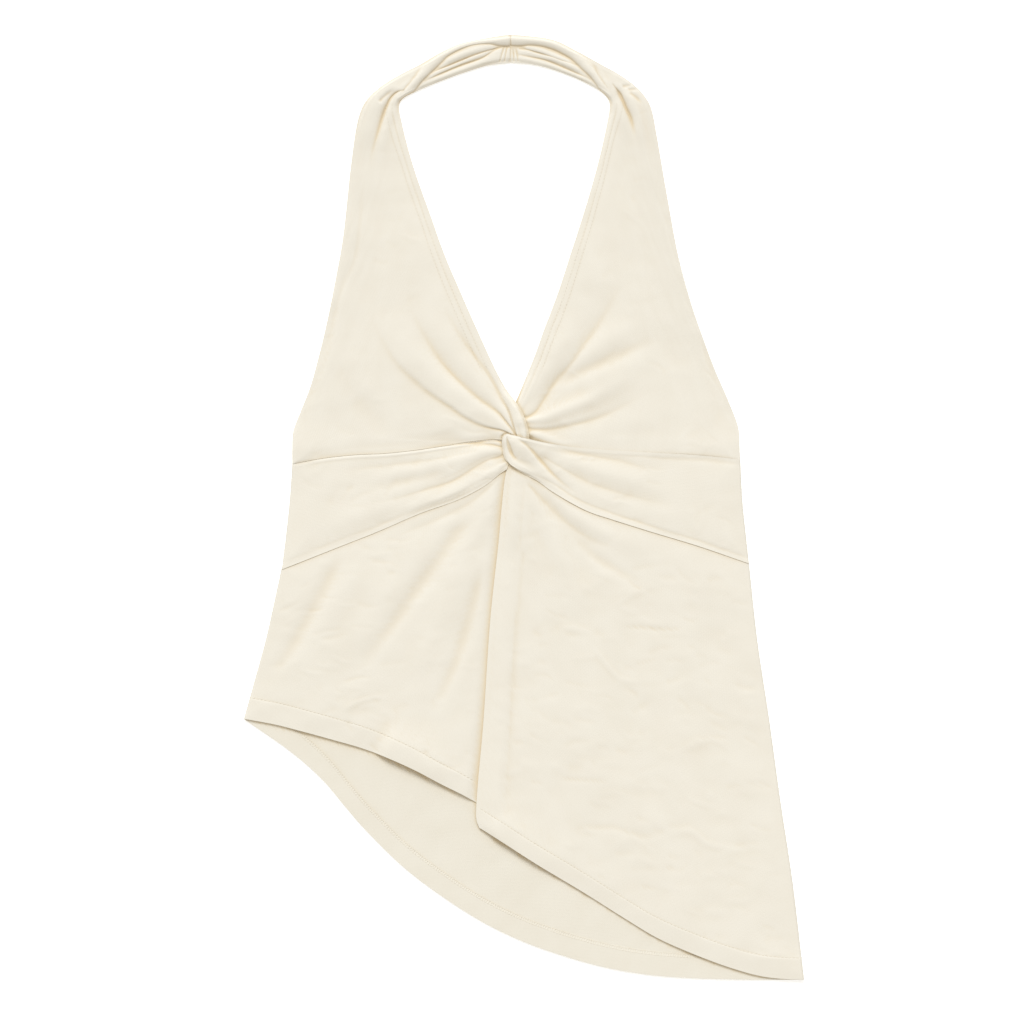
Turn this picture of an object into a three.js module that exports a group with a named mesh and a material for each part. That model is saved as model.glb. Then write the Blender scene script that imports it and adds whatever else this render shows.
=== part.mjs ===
// Halter neck top with a twisted front and a long uneven hem, laid out flat, in millimetres.
// +Y runs towards the neck, +Z up from the surface it lies on, X is 0 near the middle of the chest.
// Each cut piece is one closed body of cloth, laid in turn on the pieces beneath it.
import * as THREE from "three";

// Sizes
const CLOTH = 1.2; // wall of one layer of cloth
const GAP = 0.3; // air between two layers, and between two pieces at a seam
const HEM_DEPTH = 17.6; // width of the turned-up hem
const HEM_STEP = 0.7; // how much the turned-up hem adds to the wall
const HEM_SLOPE = 2.5; // run over which the hem step rises
const PLEAT = 17; // width of cloth hidden in the knife pleat
const TURN = (CLOTH + GAP) / 2; // radius at mid-cloth where the pleat turns back
const STEEP = 1.7; // the wall measured upwards never grows past this many cloth walls
const LINEN = 0xf3ecdd;

const KNOT = { x: -8, y: 60 };

// Height map of what has been laid so far, in cells
const MAP_CELL = 1;
const MAP_LEFT = -240;
const MAP_NEAR = -392;
const MAP_COLUMNS = 480;
const MAP_ROWS = 792;
const map = new Float32Array(MAP_COLUMNS * MAP_ROWS);

const named = (columns, rows) =>
  rows.map((row) => Object.fromEntries(columns.map((name, i) => [name, row[i]])));

const clamp = (value, low, high) => Math.min(high, Math.max(low, value));
const mix = (a, b, t) => a + (b - a) * t;
const smooth = (t) => {
  const s = clamp(t, 0, 1);
  return s * s * (3 - 2 * s);
};

// Edge lines seen from above

const line = (points) =>
  new THREE.CatmullRomCurve3(
    points.map(([x, y]) => new THREE.Vector3(x, y, 0)),
    false,
    "centripetal"
  );

const BAND_TOP_LEFT = line([
  [-185.2, 34.6], [-147.2, 41.2], [-112, 42.8], [-75.2, 46.8], [-46.4, 51.6], [-24, 53.4], [-15, 54],
]);
const BAND_TOP_RIGHT = line([
  [-13.6, 58.4], [-5.6, 56.6], [4.8, 54], [16.8, 51.4], [36.8, 48.2], [60.8, 46], [100.8, 43.6],
  [140.8, 41.2], [172.8, 38],
]);
const WAIST_LEFT = line([
  [-193.6, -50], [-148, -32], [-115.2, -19], [-83.2, -5.2], [-51.2, 6.4], [-30.4, 17.6], [-19, 26.8],
  [-16.2, 29.4],
]);
const WAIST_RIGHT = line([
  [-11, 33.5], [-2.4, 27.6], [10.8, 20.8], [22.4, 12.4], [50.4, -3.2], [70.4, -10], [100.8, -19.6],
  [139.2, -31.2], [179.8, -45.2],
]);
const CURL_EDGE = line([[-13.6, 58.4], [-16.6, 53.5], [-17.2, 46], [-15.4, 38.6], [-11, 33.5]]);
const SIDE_BAND_LEFT = line([[-185.2, 34.6], [-187.2, 6], [-190.6, -26], [-193.6, -50]]);
const SIDE_BAND_RIGHT = line([[172.8, 38], [174.4, 5.6], [177, -20], [179.8, -45.2]]);
const BAND_END_LEFT = line([[-15, 54], [-15, 42], [-16.2, 29.4]]);

const SIDE_SKIRT_LEFT = line([
  [-193.4, -47], [-199.2, -74.4], [-206.4, -106.4], [-215.2, -138.4], [-223.8, -169.2],
]);
const SIDE_SKIRT_RIGHT = line([
  [179.4, -42], [186.4, -106.4], [196, -170.4], [204.8, -234.4], [214.4, -298.4], [223.8, -377.8],
]);
const SKIRT_TOP_LEFT = line([
  [-193.4, -47], [-148, -28.6], [-115.2, -15.8], [-83.2, -2], [-51.2, 9.8], [-30.4, 21], [-13, 33.6],
  [5.8, 38],
]);
const SKIRT_TOP_RIGHT = line([
  [-11.2, 38], [0, 31], [12, 24], [24, 15.8], [50.4, 0.4], [70.4, -6.6], [100.8, -16.2], [139.2, -27.8],
  [179.4, -42],
]);
const PLEAT_FOLD = line([
  [-11.2, 38], [-13.6, 29.5], [-15.2, 20.8], [-17.6, -2.4], [-19.7, -26.4], [-26.4, -88.8],
  [-32.3, -175.2], [-37.2, -231], [-37.6, -250], [-35.2, -256.6],
]);
const HEM_LEFT = line([
  [-223.8, -169.2], [-198.4, -174], [-176, -179.8], [-152.3, -186.4], [-131.6, -192.4], [-109.6, -200.6],
  [-87.2, -210.9], [-68, -221.3], [-50.4, -230.2], [-38.4, -237.2], [-20.4, -248.5],
]);
const HEM_RIGHT = line([
  [-35.2, -256.6], [-18.7, -266.8], [10.4, -285.6], [49.1, -309], [78.2, -327.4], [107.2, -344.8],
  [136.4, -357.6], [165.6, -368.4], [188.8, -374.8], [206, -377], [223.8, -377.8],
]);
const BACK_TOP = line([[-184.6, 58], [-100, 52], [-8, 49], [90, 54], [171.2, 62]]);
const BACK_SIDE_LEFT = line([
  [-184.6, 58], [-185.2, 34], [-187.6, 0], [-193.4, -49], [-199.2, -74.4], [-206.4, -106.4], [-215.2, -138.4],
  [-223.8, -169.6],
]);
const BACK_SIDE_RIGHT = line([
  [171.2, 62], [172.8, 38], [174.4, 5.6], [179.8, -45.2], [186.4, -106.4], [196, -170.4], [204.8, -234.4],
  [214.4, -298.4], [223.8, -378],
]);
const HEM_BACK = line([
  [-223.8, -169.6], [-207.2, -180.8], [-191.2, -192], [-175.2, -204.8], [-159.2, -220], [-143.2, -239.2],
  [-127.2, -257.6], [-95.2, -288.8], [-63.2, -312.8], [-31.2, -332.8], [0.8, -348], [32.8, -359.2],
  [64.8, -368], [96.8, -373.6], [128.8, -376.4], [176.8, -377.8], [223.8, -378],
]);

// Sections across each bust panel and its half of the neck strap, from the knot to the centre back:
// a point on the neck edge and one on the outer edge; corner 1 keeps the outer edge sharp there
const SECTION = ["neckX", "neckY", "outerX", "outerY", "corner"];
const BUST_LEFT = named(SECTION, [
  [9.6, 46.4, -11.2, 46.4, 0],
  [6.4, 53.6, -17.6, 52.8, 0],
  [4.8, 61.6, -28.8, 53.4, 0],
  [2, 69.6, -44.8, 51.6, 0],
  [-2.4, 77.6, -64, 48.8, 0],
  [-7.2, 84.8, -85.6, 45.6, 0],
  [-14.4, 94.4, -110.4, 42.9, 0],
  [-22.4, 108.8, -136, 41.6, 0],
  [-29.6, 124, -161.6, 38.8, 0],
  [-36.8, 140, -185.2, 34.4, 1],
  [-44, 156, -185.2, 46.4, 0],
  [-52, 174.4, -184.4, 60.8, 0],
  [-60, 192.8, -178.4, 76.8, 0],
  [-67.2, 211.2, -170.4, 97.6, 0],
  [-74.4, 232, -163.2, 124, 0],
  [-80.8, 249.6, -156.8, 151.2, 0],
  [-86.4, 265.6, -150.4, 183.2, 0],
  [-91.6, 282.4, -144.4, 217.6, 0],
  [-95.2, 296, -139.2, 265.6, 0],
  [-98, 308, -134.8, 299.2, 0],
  [-99.8, 316.8, -131.6, 313.6, 0],
  [-99.4, 323.2, -127.6, 322.8, 0],
  [-95.6, 327.6, -121.6, 330, 0],
  [-88, 331.5, -112, 337.8, 0],
  [-76, 336.8, -98.4, 346.1, 0],
  [-60.8, 342.8, -82.4, 354.3, 0],
  [-44.8, 348.4, -65.6, 364, 0],
  [-28.8, 353.1, -46.4, 371.8, 0],
  [-11.4, 355.4, -11.4, 378, 0],
]);
const BUST_RIGHT = named(SECTION, [
  [-13.6, 71.2, -6.4, 53, 0],
  [-9.2, 78.4, 3, 51, 0],
  [-5.2, 87.2, 18.4, 47.6, 0],
  [-1.2, 96.8, 38.4, 44.8, 0],
  [4.4, 110.4, 62.4, 42.4, 0],
  [10.4, 125.6, 89.6, 40.8, 0],
  [16, 141.6, 118.4, 40, 0],
  [21.6, 156, 146.4, 38.4, 0],
  [27.2, 171.2, 172.8, 34.8, 1],
  [32, 185.6, 172.2, 48, 0],
  [37.6, 203.2, 171.2, 64, 0],
  [43.6, 221.6, 163.2, 85.6, 0],
  [49.6, 240.8, 152.8, 109.6, 0],
  [54.8, 258.4, 143.2, 135.2, 0],
  [59.6, 276, 133.6, 163.2, 0],
  [63.6, 292.8, 123.2, 201.6, 0],
  [66.8, 308, 114.4, 248.8, 0],
  [68.4, 317.6, 106.4, 295.2, 0],
  [68, 324.8, 102, 317.6, 0],
  [63.6, 330.7, 96.8, 328, 0],
  [56.4, 335.4, 88.8, 336.8, 0],
  [45.6, 341.1, 76, 346, 0],
  [32, 346.7, 60.8, 354.4, 0],
  [18.4, 351.2, 42.4, 364.5, 0],
  [4.8, 354.2, 21.6, 374, 0],
  [-11.1, 355.4, -11.1, 378, 0],
]);

// Folds: a curve through three points, its height (below 0 a valley) and half width; rooted 1 keeps it
// at full strength where it starts, otherwise it fades at both ends
const FOLD = ["startX", "startY", "midX", "midY", "endX", "endY", "height", "width", "rooted"];
const BUST_LEFT_FOLDS = named(FOLD, [
  [-16.8, 60, -57.6, 79.2, -115.2, 140.8, -2, 5, 1],
  [-12.8, 64, -47.2, 96.8, -83.2, 141.6, -1.8, 4.5, 1],
  [-8, 66.4, -35.2, 101.6, -69.6, 153.6, -1.6, 4, 1],
  [-34, 58, -70, 67, -123.2, 85.6, 1.8, 9, 0],
  [-26, 69, -57, 88.5, -103.2, 135.2, 1.6, 5, 0],
  [-96.8, 332, -110.4, 317.6, -125.6, 258.4, -1.4, 4, 0],
  [-108.8, 309.6, -112, 292, -116, 269.6, 1.2, 5, 0],
  [-97.6, 324.8, -84.8, 343.2, -62.4, 363.2, 2.4, 5, 1],
  [-62.4, 363.2, -39.2, 371.2, -12, 373.2, 2.2, 5, 1],
  [-89.6, 333.6, -67.2, 351.2, -19.2, 364, 1, 4, 0],
  [-75.2, 336.8, -47.2, 349.6, -12.8, 360, 0.8, 4, 0],
]);
const BUST_RIGHT_FOLDS = named(FOLD, [
  [1.6, 71.2, 36.8, 112.8, 72, 168.8, -1.8, 5, 1],
  [5.6, 69.6, 22.4, 81.6, 40.8, 97.6, 1.4, 5, 1],
  [30.4, 99.2, 64, 116.8, 86.4, 129.6, -1.5, 5, 0],
  [8, 64.8, 47.2, 71.2, 84.8, 96, -1.8, 5, 1],
  [22, 58, 62, 62, 124.8, 73.6, 1.6, 10, 0],
  [73.6, 332, 82.4, 319.2, 84.8, 304.8, -1.2, 4, 0],
  [78.4, 319.2, 78.4, 305.6, 75.2, 288.8, 1.2, 5, 0],
  [66.4, 327.2, 54.4, 348, 33.6, 365.6, 2.2, 5, 1],
  [33.6, 365.6, 12.8, 372, -10.4, 373.2, 2.2, 5, 1],
  [60.8, 335.2, 36.8, 354.4, -7.2, 364, 1, 4, 0],
  [44.8, 339.2, 20.8, 349.6, -9.6, 359.2, 0.8, 4, 0],
]);
const BAND_LEFT_FOLDS = named(FOLD, [
  [-16.8, 45.6, -59.2, 38.4, -112.8, 30.4, -1.2, 4, 1],
  [-13.6, 38.4, -59.2, 16.8, -109.6, -4.8, -1.5, 5, 1],
  [-19.2, 41.6, -67.2, 28, -131.2, 12, 1, 6, 1],
]);
const BAND_RIGHT_FOLDS = named(FOLD, [
  [8, 47.2, 52.8, 36, 104.8, 30.4, -1.2, 4, 1],
  [20, 37.6, 60.8, 16, 112.8, 1.6, -1.3, 5, 1],
  [-11, 53, -10.5, 45, -4, 36, 1.6, 6, 1],
  [-3.2, 41.6, 44.8, 25.6, 108.8, 15.2, 1, 6, 1],
]);
const SKIRT_LEFT_FOLDS = named(FOLD, [
  [-51.2, -24, -94.4, -70.4, -128, -125.6, -0.9, 6, 0],
  [-144.8, -36, -156, -57.6, -165.6, -79.2, -0.6, 5, 0],
  [-59.2, -34.4, -103.2, -94.4, -137.6, -166.4, 1.2, 12, 0],
  [-40, -26.4, -66, -90.4, -97, -166.4, 1.2, 9, 0],
]);
const SKIRT_RIGHT_FOLDS = named(FOLD, [
  [8, 22.4, 30.4, -10.4, 69.6, -45.6, -1.5, 5, 1],
  [-1.6, 20, 16.8, -26.4, 52.8, -78.4, 1.2, 8, 1],
  [19.2, 26.4, 52.8, -2.4, 92.8, -30.4, 1.2, 7, 1],
  [68.8, -102.4, 96.8, -107.2, 128.8, -103.2, 0.9, 6, 0],
  [51.2, -122.4, 82.4, -144.8, 132.8, -141.6, 0.9, 6, 0],
  [104.8, -202.4, 144.8, -194.4, 172.8, -205.6, 0.8, 6, 0],
  [12.8, -226.4, 44.8, -229.6, 76.8, -225.6, 0.8, 6, 0],
  [-4.8, -255.2, 82.4, -277.6, 140.8, -269.6, 0.8, 6, 0],
]);

// How far the gathers stand up at the knot and how far out that reaches
const LOFT_BUST_LEFT = { height: 1.6, reach: 45 };
const LOFT_BUST_RIGHT = { height: 1.2, reach: 45 };
const LOFT_BAND_LEFT = { height: 0.8, reach: 38 };
const LOFT_BAND_RIGHT = { height: 1, reach: 38 };
const LOFT_SKIRT = { height: 0.6, reach: 70 };

const FOLD_STEPS = 10;
const FADE = 0.25; // part of a fold's length over which a free end fades

function foldLift(folds, loft) {
  const traced = folds.map((fold) => {
    const points = [];
    for (let i = 0; i <= FOLD_STEPS; i += 1) {
      const t = i / FOLD_STEPS;
      const a = (1 - t) * (1 - 2 * t);
      const b = 4 * t * (1 - t);
      const c = t * (2 * t - 1);
      const along = (axis) => a * fold[`start${axis}`] + b * fold[`mid${axis}`] + c * fold[`end${axis}`];
      points.push([along("X"), along("Y")]);
    }
    return { ...fold, points };
  });
  return (x, y) => {
    const out = ((x - KNOT.x) ** 2 + (y - KNOT.y) ** 2) / loft.reach ** 2;
    let lift = loft.height * Math.exp(-out);
    for (const fold of traced) {
      let near = Infinity;
      let along = 0;
      for (let i = 0; i < FOLD_STEPS; i += 1) {
        const [ax, ay] = fold.points[i];
        const [bx, by] = fold.points[i + 1];
        const length2 = (bx - ax) ** 2 + (by - ay) ** 2;
        const t = clamp(((x - ax) * (bx - ax) + (y - ay) * (by - ay)) / length2, 0, 1);
        const d2 = (x - mix(ax, bx, t)) ** 2 + (y - mix(ay, by, t)) ** 2;
        if (d2 < near) {
          near = d2;
          along = (i + t) / FOLD_STEPS;
        }
      }
      const start = fold.rooted ? 1 : smooth(along / FADE);
      lift += fold.height * Math.exp(-near / fold.width ** 2) * start * smooth((1 - along) / (1 - FADE));
    }
    return Math.max(0, lift);
  };
}

// Layouts seen from above

function fourSided(top, bottom, left, right) {
  const p = (curve, t) => curve.getPointAt(clamp(t, 0, 1));
  const corners = [p(top, 0), p(top, 1), p(bottom, 0), p(bottom, 1)];
  return (u, v) => {
    const t = p(top, u);
    const b = p(bottom, u);
    const l = p(left, v);
    const r = p(right, v);
    const at = (key) =>
      mix(t[key], b[key], v) + mix(l[key], r[key], u) -
      mix(mix(corners[0][key], corners[1][key], u), mix(corners[2][key], corners[3][key], u), v);
    return [at("x"), at("y")];
  };
}

function throughRows(rows, key, at) {
  const i = clamp(Math.floor(at), 0, rows.length - 2);
  const t = at - i;
  const value = (k) => rows[clamp(k, 0, rows.length - 1)][key];
  const outer = key.startsWith("outer");
  const slope = (k) => (outer && rows[k].corner ? null : (value(k + 1) - value(k - 1)) / 2);
  const step = value(i + 1) - value(i);
  const a = slope(i) ?? step;
  const b = slope(i + 1) ?? step;
  const t2 = t * t;
  const t3 = t2 * t;
  const fromPoint = value(i) * (2 * t3 - 3 * t2 + 1) + a * (t3 - 2 * t2 + t);
  const toPoint = value(i + 1) * (3 * t2 - 2 * t3) + b * (t3 - t2);
  return fromPoint + toPoint;
}

function strap(rows) {
  return (u, v) => {
    const at = v * (rows.length - 1);
    const value = (key) => throughRows(rows, key, at);
    return [mix(value("neckX"), value("outerX"), u), mix(value("neckY"), value("outerY"), u)];
  };
}

// Laying a grid of points on what is beneath it

const cellOf = (x, y) => [Math.floor((x - MAP_LEFT) / MAP_CELL), Math.floor((y - MAP_NEAR) / MAP_CELL)];
const cellIndex = (i, j) => clamp(j, 0, MAP_ROWS - 1) * MAP_COLUMNS + clamp(i, 0, MAP_COLUMNS - 1);

function restHeight(x, y) {
  const [ci, cj] = cellOf(x, y);
  let high = 0;
  for (let j = cj - 1; j <= cj + 1; j += 1) {
    for (let i = ci - 1; i <= ci + 1; i += 1) high = Math.max(high, map[cellIndex(i, j)]);
  }
  return high > 0 ? high + GAP : 0;
}

function eachCell(triangle, visit) {
  const [a, b, c] = triangle;
  const area = (b.x - a.x) * (c.y - a.y) - (c.x - a.x) * (b.y - a.y);
  if (Math.abs(area) < 1e-9) return;
  const [i0, j0] = cellOf(Math.min(a.x, b.x, c.x), Math.min(a.y, b.y, c.y));
  const [i1, j1] = cellOf(Math.max(a.x, b.x, c.x), Math.max(a.y, b.y, c.y));
  for (let j = j0; j <= j1; j += 1) {
    for (let i = i0; i <= i1; i += 1) {
      const x = MAP_LEFT + (i + 0.5) * MAP_CELL;
      const y = MAP_NEAR + (j + 0.5) * MAP_CELL;
      const wb = ((x - a.x) * (c.y - a.y) - (c.x - a.x) * (y - a.y)) / area;
      const wc = ((b.x - a.x) * (y - a.y) - (x - a.x) * (b.y - a.y)) / area;
      const wa = 1 - wb - wc;
      if (wa >= 0 && wb >= 0 && wc >= 0) visit(x, y, [wa, wb, wc], cellIndex(i, j));
    }
  }
}

function eachTriangle(grid, visit) {
  for (let j = 0; j < grid.length - 1; j += 1) {
    for (let i = 0; i < grid[j].length - 1; i += 1) {
      visit([grid[j][i], grid[j][i + 1], grid[j + 1][i + 1]]);
      visit([grid[j][i], grid[j + 1][i + 1], grid[j + 1][i]]);
    }
  }
}

const CLEAR_PASSES = 24;
const SETTLE_PASSES = 60;
const SAG = 0.3; // how far the cloth sinks below its neighbours in one pass

function drape(grid) {
  for (const point of grid.flat()) point.need = restHeight(point.x, point.y);
  for (let pass = 0; pass < CLEAR_PASSES; pass += 1) {
    eachTriangle(grid, (triangle) =>
      eachCell(triangle, (x, y, weights) => {
        const z = weights.reduce((sum, w, k) => sum + w * triangle[k].need, 0);
        const short = restHeight(x, y) - z;
        if (short <= 0) return;
        const scale = short / weights.reduce((sum, w) => sum + w * w, 0);
        triangle.forEach((point, k) => {
          point.need += weights[k] * scale;
        });
      })
    );
  }
  for (const point of grid.flat()) point.z = point.need;
  const last = grid.length - 1;
  const wide = grid[0].length - 1;
  for (let pass = 0; pass < SETTLE_PASSES; pass += 1) {
    for (let j = 0; j <= last; j += 1) {
      for (let i = 0; i <= wide; i += 1) {
        const point = grid[j][i];
        const beside = (grid[j][Math.max(0, i - 1)].z + grid[j][Math.min(wide, i + 1)].z) / 2;
        const ahead = (grid[Math.max(0, j - 1)][i].z + grid[Math.min(last, j + 1)][i].z) / 2;
        point.z = Math.max(point.need, (beside + ahead) / 2 - SAG);
      }
    }
  }
}

// Wall measured upwards so that it keeps its thickness where the cloth slopes
function wallAt(grid, i, j) {
  const last = grid.length - 1;
  const wide = grid[0].length - 1;
  const w = grid[j][Math.max(0, i - 1)];
  const e = grid[j][Math.min(wide, i + 1)];
  const n = grid[Math.max(0, j - 1)][i];
  const s = grid[Math.min(last, j + 1)][i];
  const normal = new THREE.Vector3(e.x - w.x, e.y - w.y, e.z - w.z)
    .cross(new THREE.Vector3(s.x - n.x, s.y - n.y, s.z - n.z))
    .normalize();
  return CLOTH * Math.min(STEEP, 1 / Math.max(0.01, Math.abs(normal.z)));
}

function layGrid(plan, across, down) {
  return down.map((v) => across.map((u) => {
    const [x, y] = plan(u, v);
    return { x, y, z: 0, u, v };
  }));
}

function raise(grid, lift, extra) {
  for (const point of grid.flat()) point.z += lift(point.x, point.y, point);
  grid.forEach((row, j) => row.forEach((point, i) => {
    point.top = point.z + wallAt(grid, i, j) + extra(point);
  }));
}

function stamp(grid) {
  eachTriangle(grid, (triangle) =>
    eachCell(triangle, (x, y, weights, cell) => {
      const top = weights.reduce((sum, w, k) => sum + w * triangle[k].top, 0);
      map[cell] = Math.max(map[cell], top);
    })
  );
}

// Closed body from two grids of points: the face that is seen and the one beneath it
function closedBody(upper, lower) {
  const rows = upper.length;
  const columns = upper[0].length;
  const positions = [];
  for (const grid of [upper, lower]) {
    for (const point of grid.flat()) positions.push(point.x, point.y, point.z);
  }
  const a = (i, j) => j * columns + i;
  const b = (i, j) => rows * columns + j * columns + i;
  const index = [];
  const quad = (p, q, r, s) => index.push(p, q, r, p, r, s);
  for (let j = 0; j < rows - 1; j += 1) {
    for (let i = 0; i < columns - 1; i += 1) {
      quad(a(i, j), a(i, j + 1), a(i + 1, j + 1), a(i + 1, j));
      quad(b(i, j), b(i + 1, j), b(i + 1, j + 1), b(i, j + 1));
    }
    quad(a(0, j), b(0, j), b(0, j + 1), a(0, j + 1));
    quad(a(columns - 1, j), a(columns - 1, j + 1), b(columns - 1, j + 1), b(columns - 1, j));
  }
  for (let i = 0; i < columns - 1; i += 1) {
    quad(a(i, 0), a(i + 1, 0), b(i + 1, 0), b(i, 0));
    quad(a(i, rows - 1), b(i, rows - 1), b(i + 1, rows - 1), a(i + 1, rows - 1));
  }
  const geometry = new THREE.BufferGeometry();
  geometry.setAttribute("position", new THREE.Float32BufferAttribute(positions, 3));
  geometry.setIndex(index);
  if (volumeOf(positions, index) < 0) {
    for (let k = 0; k < index.length; k += 3) [index[k], index[k + 1]] = [index[k + 1], index[k]];
    geometry.setIndex(index);
  }
  geometry.computeVertexNormals();
  return geometry;
}

function volumeOf(positions, index) {
  const corner = (k) => new THREE.Vector3().fromArray(positions, 3 * index[k]);
  let volume = 0;
  for (let k = 0; k < index.length; k += 3) volume += corner(k).dot(corner(k + 1).cross(corner(k + 2))) / 6;
  return volume;
}

const group = new THREE.Group();
group.name = "halter_neck_top";

function addPiece(name, upper, lower) {
  const material = new THREE.MeshStandardMaterial({ color: LINEN, roughness: 0.9 });
  const mesh = new THREE.Mesh(closedBody(upper, lower), material);
  mesh.name = name;
  group.add(mesh);
}

const upperOf = (grid) => grid.map((row) => row.map((p) => ({ x: p.x, y: p.y, z: p.top })));

const evenly = (cells) => Array.from({ length: cells + 1 }, (unused, i) => i / cells);
const CLOSER = 1.5; // above 1 sets the columns of the bands closer together at the knot
const closerFirst = (cells) => evenly(cells).map((u) => u ** CLOSER);
const closerLast = (cells) => closerFirst(cells).map((u) => 1 - u).reverse();

function layPiece(name, plan, cells, lift, extra = () => 0) {
  const grid = layGrid(plan, cells.across, cells.down);
  drape(grid);
  raise(grid, lift, extra);
  stamp(grid);
  addPiece(name, upperOf(grid), grid);
}

// Rows down a hemmed panel: even ones to just above the hem, then one where its step has risen, its middle
// and its edge. Each row has the part of the way to where it ends, and how far in from the edge that is
const hemRows = (count) => [
  ...Array.from({ length: count + 1 }, (unused, i) => ({ part: i / count, in: HEM_DEPTH + HEM_SLOPE })),
  { part: 1, in: HEM_DEPTH },
  { part: 1, in: HEM_DEPTH / 2 },
  { part: 1, in: 0 },
];
const hemmed = (plan) => (u, row) => {
  const [tx, ty] = plan(u, 0);
  const [bx, by] = plan(u, 1);
  const end = 1 - row.in / Math.hypot(bx - tx, by - ty);
  return plan(u, row.part * end);
};
const hemExtra = (point) => (point.v.in < HEM_DEPTH + 0.1 ? HEM_STEP : 0);
const plain = () => 0;

// Back panel, inside face up
layPiece("back_panel", hemmed(fourSided(BACK_TOP, HEM_BACK, BACK_SIDE_LEFT, BACK_SIDE_RIGHT)),
  { across: evenly(22), down: hemRows(10) }, plain, hemExtra);

// Front skirt, one panel folded in a knife pleat: the part on the left runs on beneath the fold, turns back
// as the hidden part, turns again at the fold and carries on as the part on the right
const SKIRT_ROWS = hemRows(14);
const LEFT_COLUMNS = [...evenly(14).map((u) => u * 0.9), 1];
const RIGHT_START = 0.115; // part of the right side's width that lies over the pleat
const RIGHT_COLUMNS = [
  ...evenly(4).map((u) => u * RIGHT_START),
  ...evenly(14).slice(1).map((u) => mix(RIGHT_START, 1, u)),
];
const HIDDEN_COLUMNS = [0.25, 0.6, 1];
const TURN_ANGLES = [Math.PI / 4, Math.PI / 2, (3 * Math.PI) / 4];
const FLAT_BY_FOLD = 2; // no wrinkle this close to the fold, on the side that runs beneath it
const FLAT_FADE = 6; // and over this run it comes back
const FOLD_FADE = 0.08; // the same for the part above, as part of its width
const PLEAT_SLANT = 8; // how much lower the inner fold ends than the outer one
const PLEAT_INNER = line(evenly(8).map((v) => {
  const fold = PLEAT_FOLD.getPointAt(v);
  return [fold.x + PLEAT, fold.y + PLEAT_SLANT * v];
}));

function frontSkirt() {
  const leftPlan = hemmed(fourSided(SKIRT_TOP_LEFT, HEM_LEFT, SIDE_SKIRT_LEFT, PLEAT_INNER));
  const rightPlan = hemmed(fourSided(SKIRT_TOP_RIGHT, HEM_RIGHT, PLEAT_FOLD, SIDE_SKIRT_RIGHT));
  const left = layGrid(leftPlan, LEFT_COLUMNS, SKIRT_ROWS);
  const right = layGrid(rightPlan, RIGHT_COLUMNS, SKIRT_ROWS);
  const inner = left.map((row) => row[row.length - 1]);
  const fold = right.map((row) => row[0]);

  drape(left);
  const leftFolds = foldLift(SKIRT_LEFT_FOLDS, { height: 0, reach: 1 });
  left.forEach((row, j) => {
    for (const point of row) point.fromFold = fold[j].x - point.x;
  });
  raise(left, (x, y, point) => leftFolds(x, y) * smooth((point.fromFold - FLAT_BY_FOLD) / FLAT_FADE), plain);
  stamp(left);

  const level = (layer) => inner[0].z + 2 * TURN * layer;
  const hidden = inner.map((from, j) => [0, ...HIDDEN_COLUMNS].map((t) => ({
    x: mix(from.x, fold[j].x, t),
    y: mix(from.y, fold[j].y, t),
    z: level(1),
    top: level(1) + CLOTH,
  })));
  stamp(hidden);

  drape(right);
  const rightFolds = foldLift(SKIRT_RIGHT_FOLDS, LOFT_SKIRT);
  raise(right, (x, y, point) => rightFolds(x, y) * smooth(point.u / FOLD_FADE), hemExtra);
  stamp(right);
  for (const point of fold) {
    point.z = level(2);
    point.top = level(2) + CLOTH;
  }

  const upper = [];
  const lower = [];
  left.forEach((row, j) => {
    const out = new THREE.Vector2(inner[j].x - fold[j].x, inner[j].y - fold[j].y).normalize();
    const up = [];
    const low = [];
    const turn = (at, height, side) => TURN_ANGLES.forEach((angle) => {
      const point = (radius) => ({
        x: at.x + side * out.x * radius * Math.sin(angle),
        y: at.y + side * out.y * radius * Math.sin(angle),
        z: height - radius * Math.cos(angle),
      });
      up.push(point(TURN - (side * CLOTH) / 2));
      low.push(point(TURN + (side * CLOTH) / 2));
    });
    for (const p of row) {
      up.push({ x: p.x, y: p.y, z: p.top });
      low.push({ x: p.x, y: p.y, z: p.z });
    }
    turn(inner[j], level(0) + CLOTH / 2 + TURN, 1);
    for (const p of hidden[j]) {
      up.push({ x: p.x, y: p.y, z: p.z });
      low.push({ x: p.x, y: p.y, z: p.top });
    }
    turn(fold[j], level(1) + CLOTH / 2 + TURN, -1);
    for (const p of right[j]) {
      up.push({ x: p.x, y: p.y, z: p.top });
      low.push({ x: p.x, y: p.y, z: p.z });
    }
    upper.push(up);
    lower.push(low);
  });
  addPiece("front_skirt", upper, lower);
}
frontSkirt();

layPiece("band_left", fourSided(BAND_TOP_LEFT, WAIST_LEFT, SIDE_BAND_LEFT, BAND_END_LEFT),
  { across: closerLast(24), down: evenly(7) }, foldLift(BAND_LEFT_FOLDS, LOFT_BAND_LEFT));

layPiece("bust_right", strap(BUST_RIGHT), { across: evenly(14), down: evenly(50) },
  foldLift(BUST_RIGHT_FOLDS, LOFT_BUST_RIGHT));

layPiece("bust_left", strap(BUST_LEFT), { across: evenly(14), down: evenly(56) },
  foldLift(BUST_LEFT_FOLDS, LOFT_BUST_LEFT));

layPiece("band_right", fourSided(BAND_TOP_RIGHT, WAIST_RIGHT, CURL_EDGE, SIDE_BAND_RIGHT),
  { across: closerFirst(26), down: evenly(8) }, foldLift(BAND_RIGHT_FOLDS, LOFT_BAND_RIGHT));

export default group;
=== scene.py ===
# %% [markdown]
# # Halter neck top, laid out flat
# The object is a cream jersey top: two bust panels that twist round each other at the centre, an
# under-bust band, a long front with one pleat, and a back panel under it all. It lies front up on a pale
# floor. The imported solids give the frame: each piece below is laid where its solid lies, in the same
# order, so the layers rest on each other as real cloth does.

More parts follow.
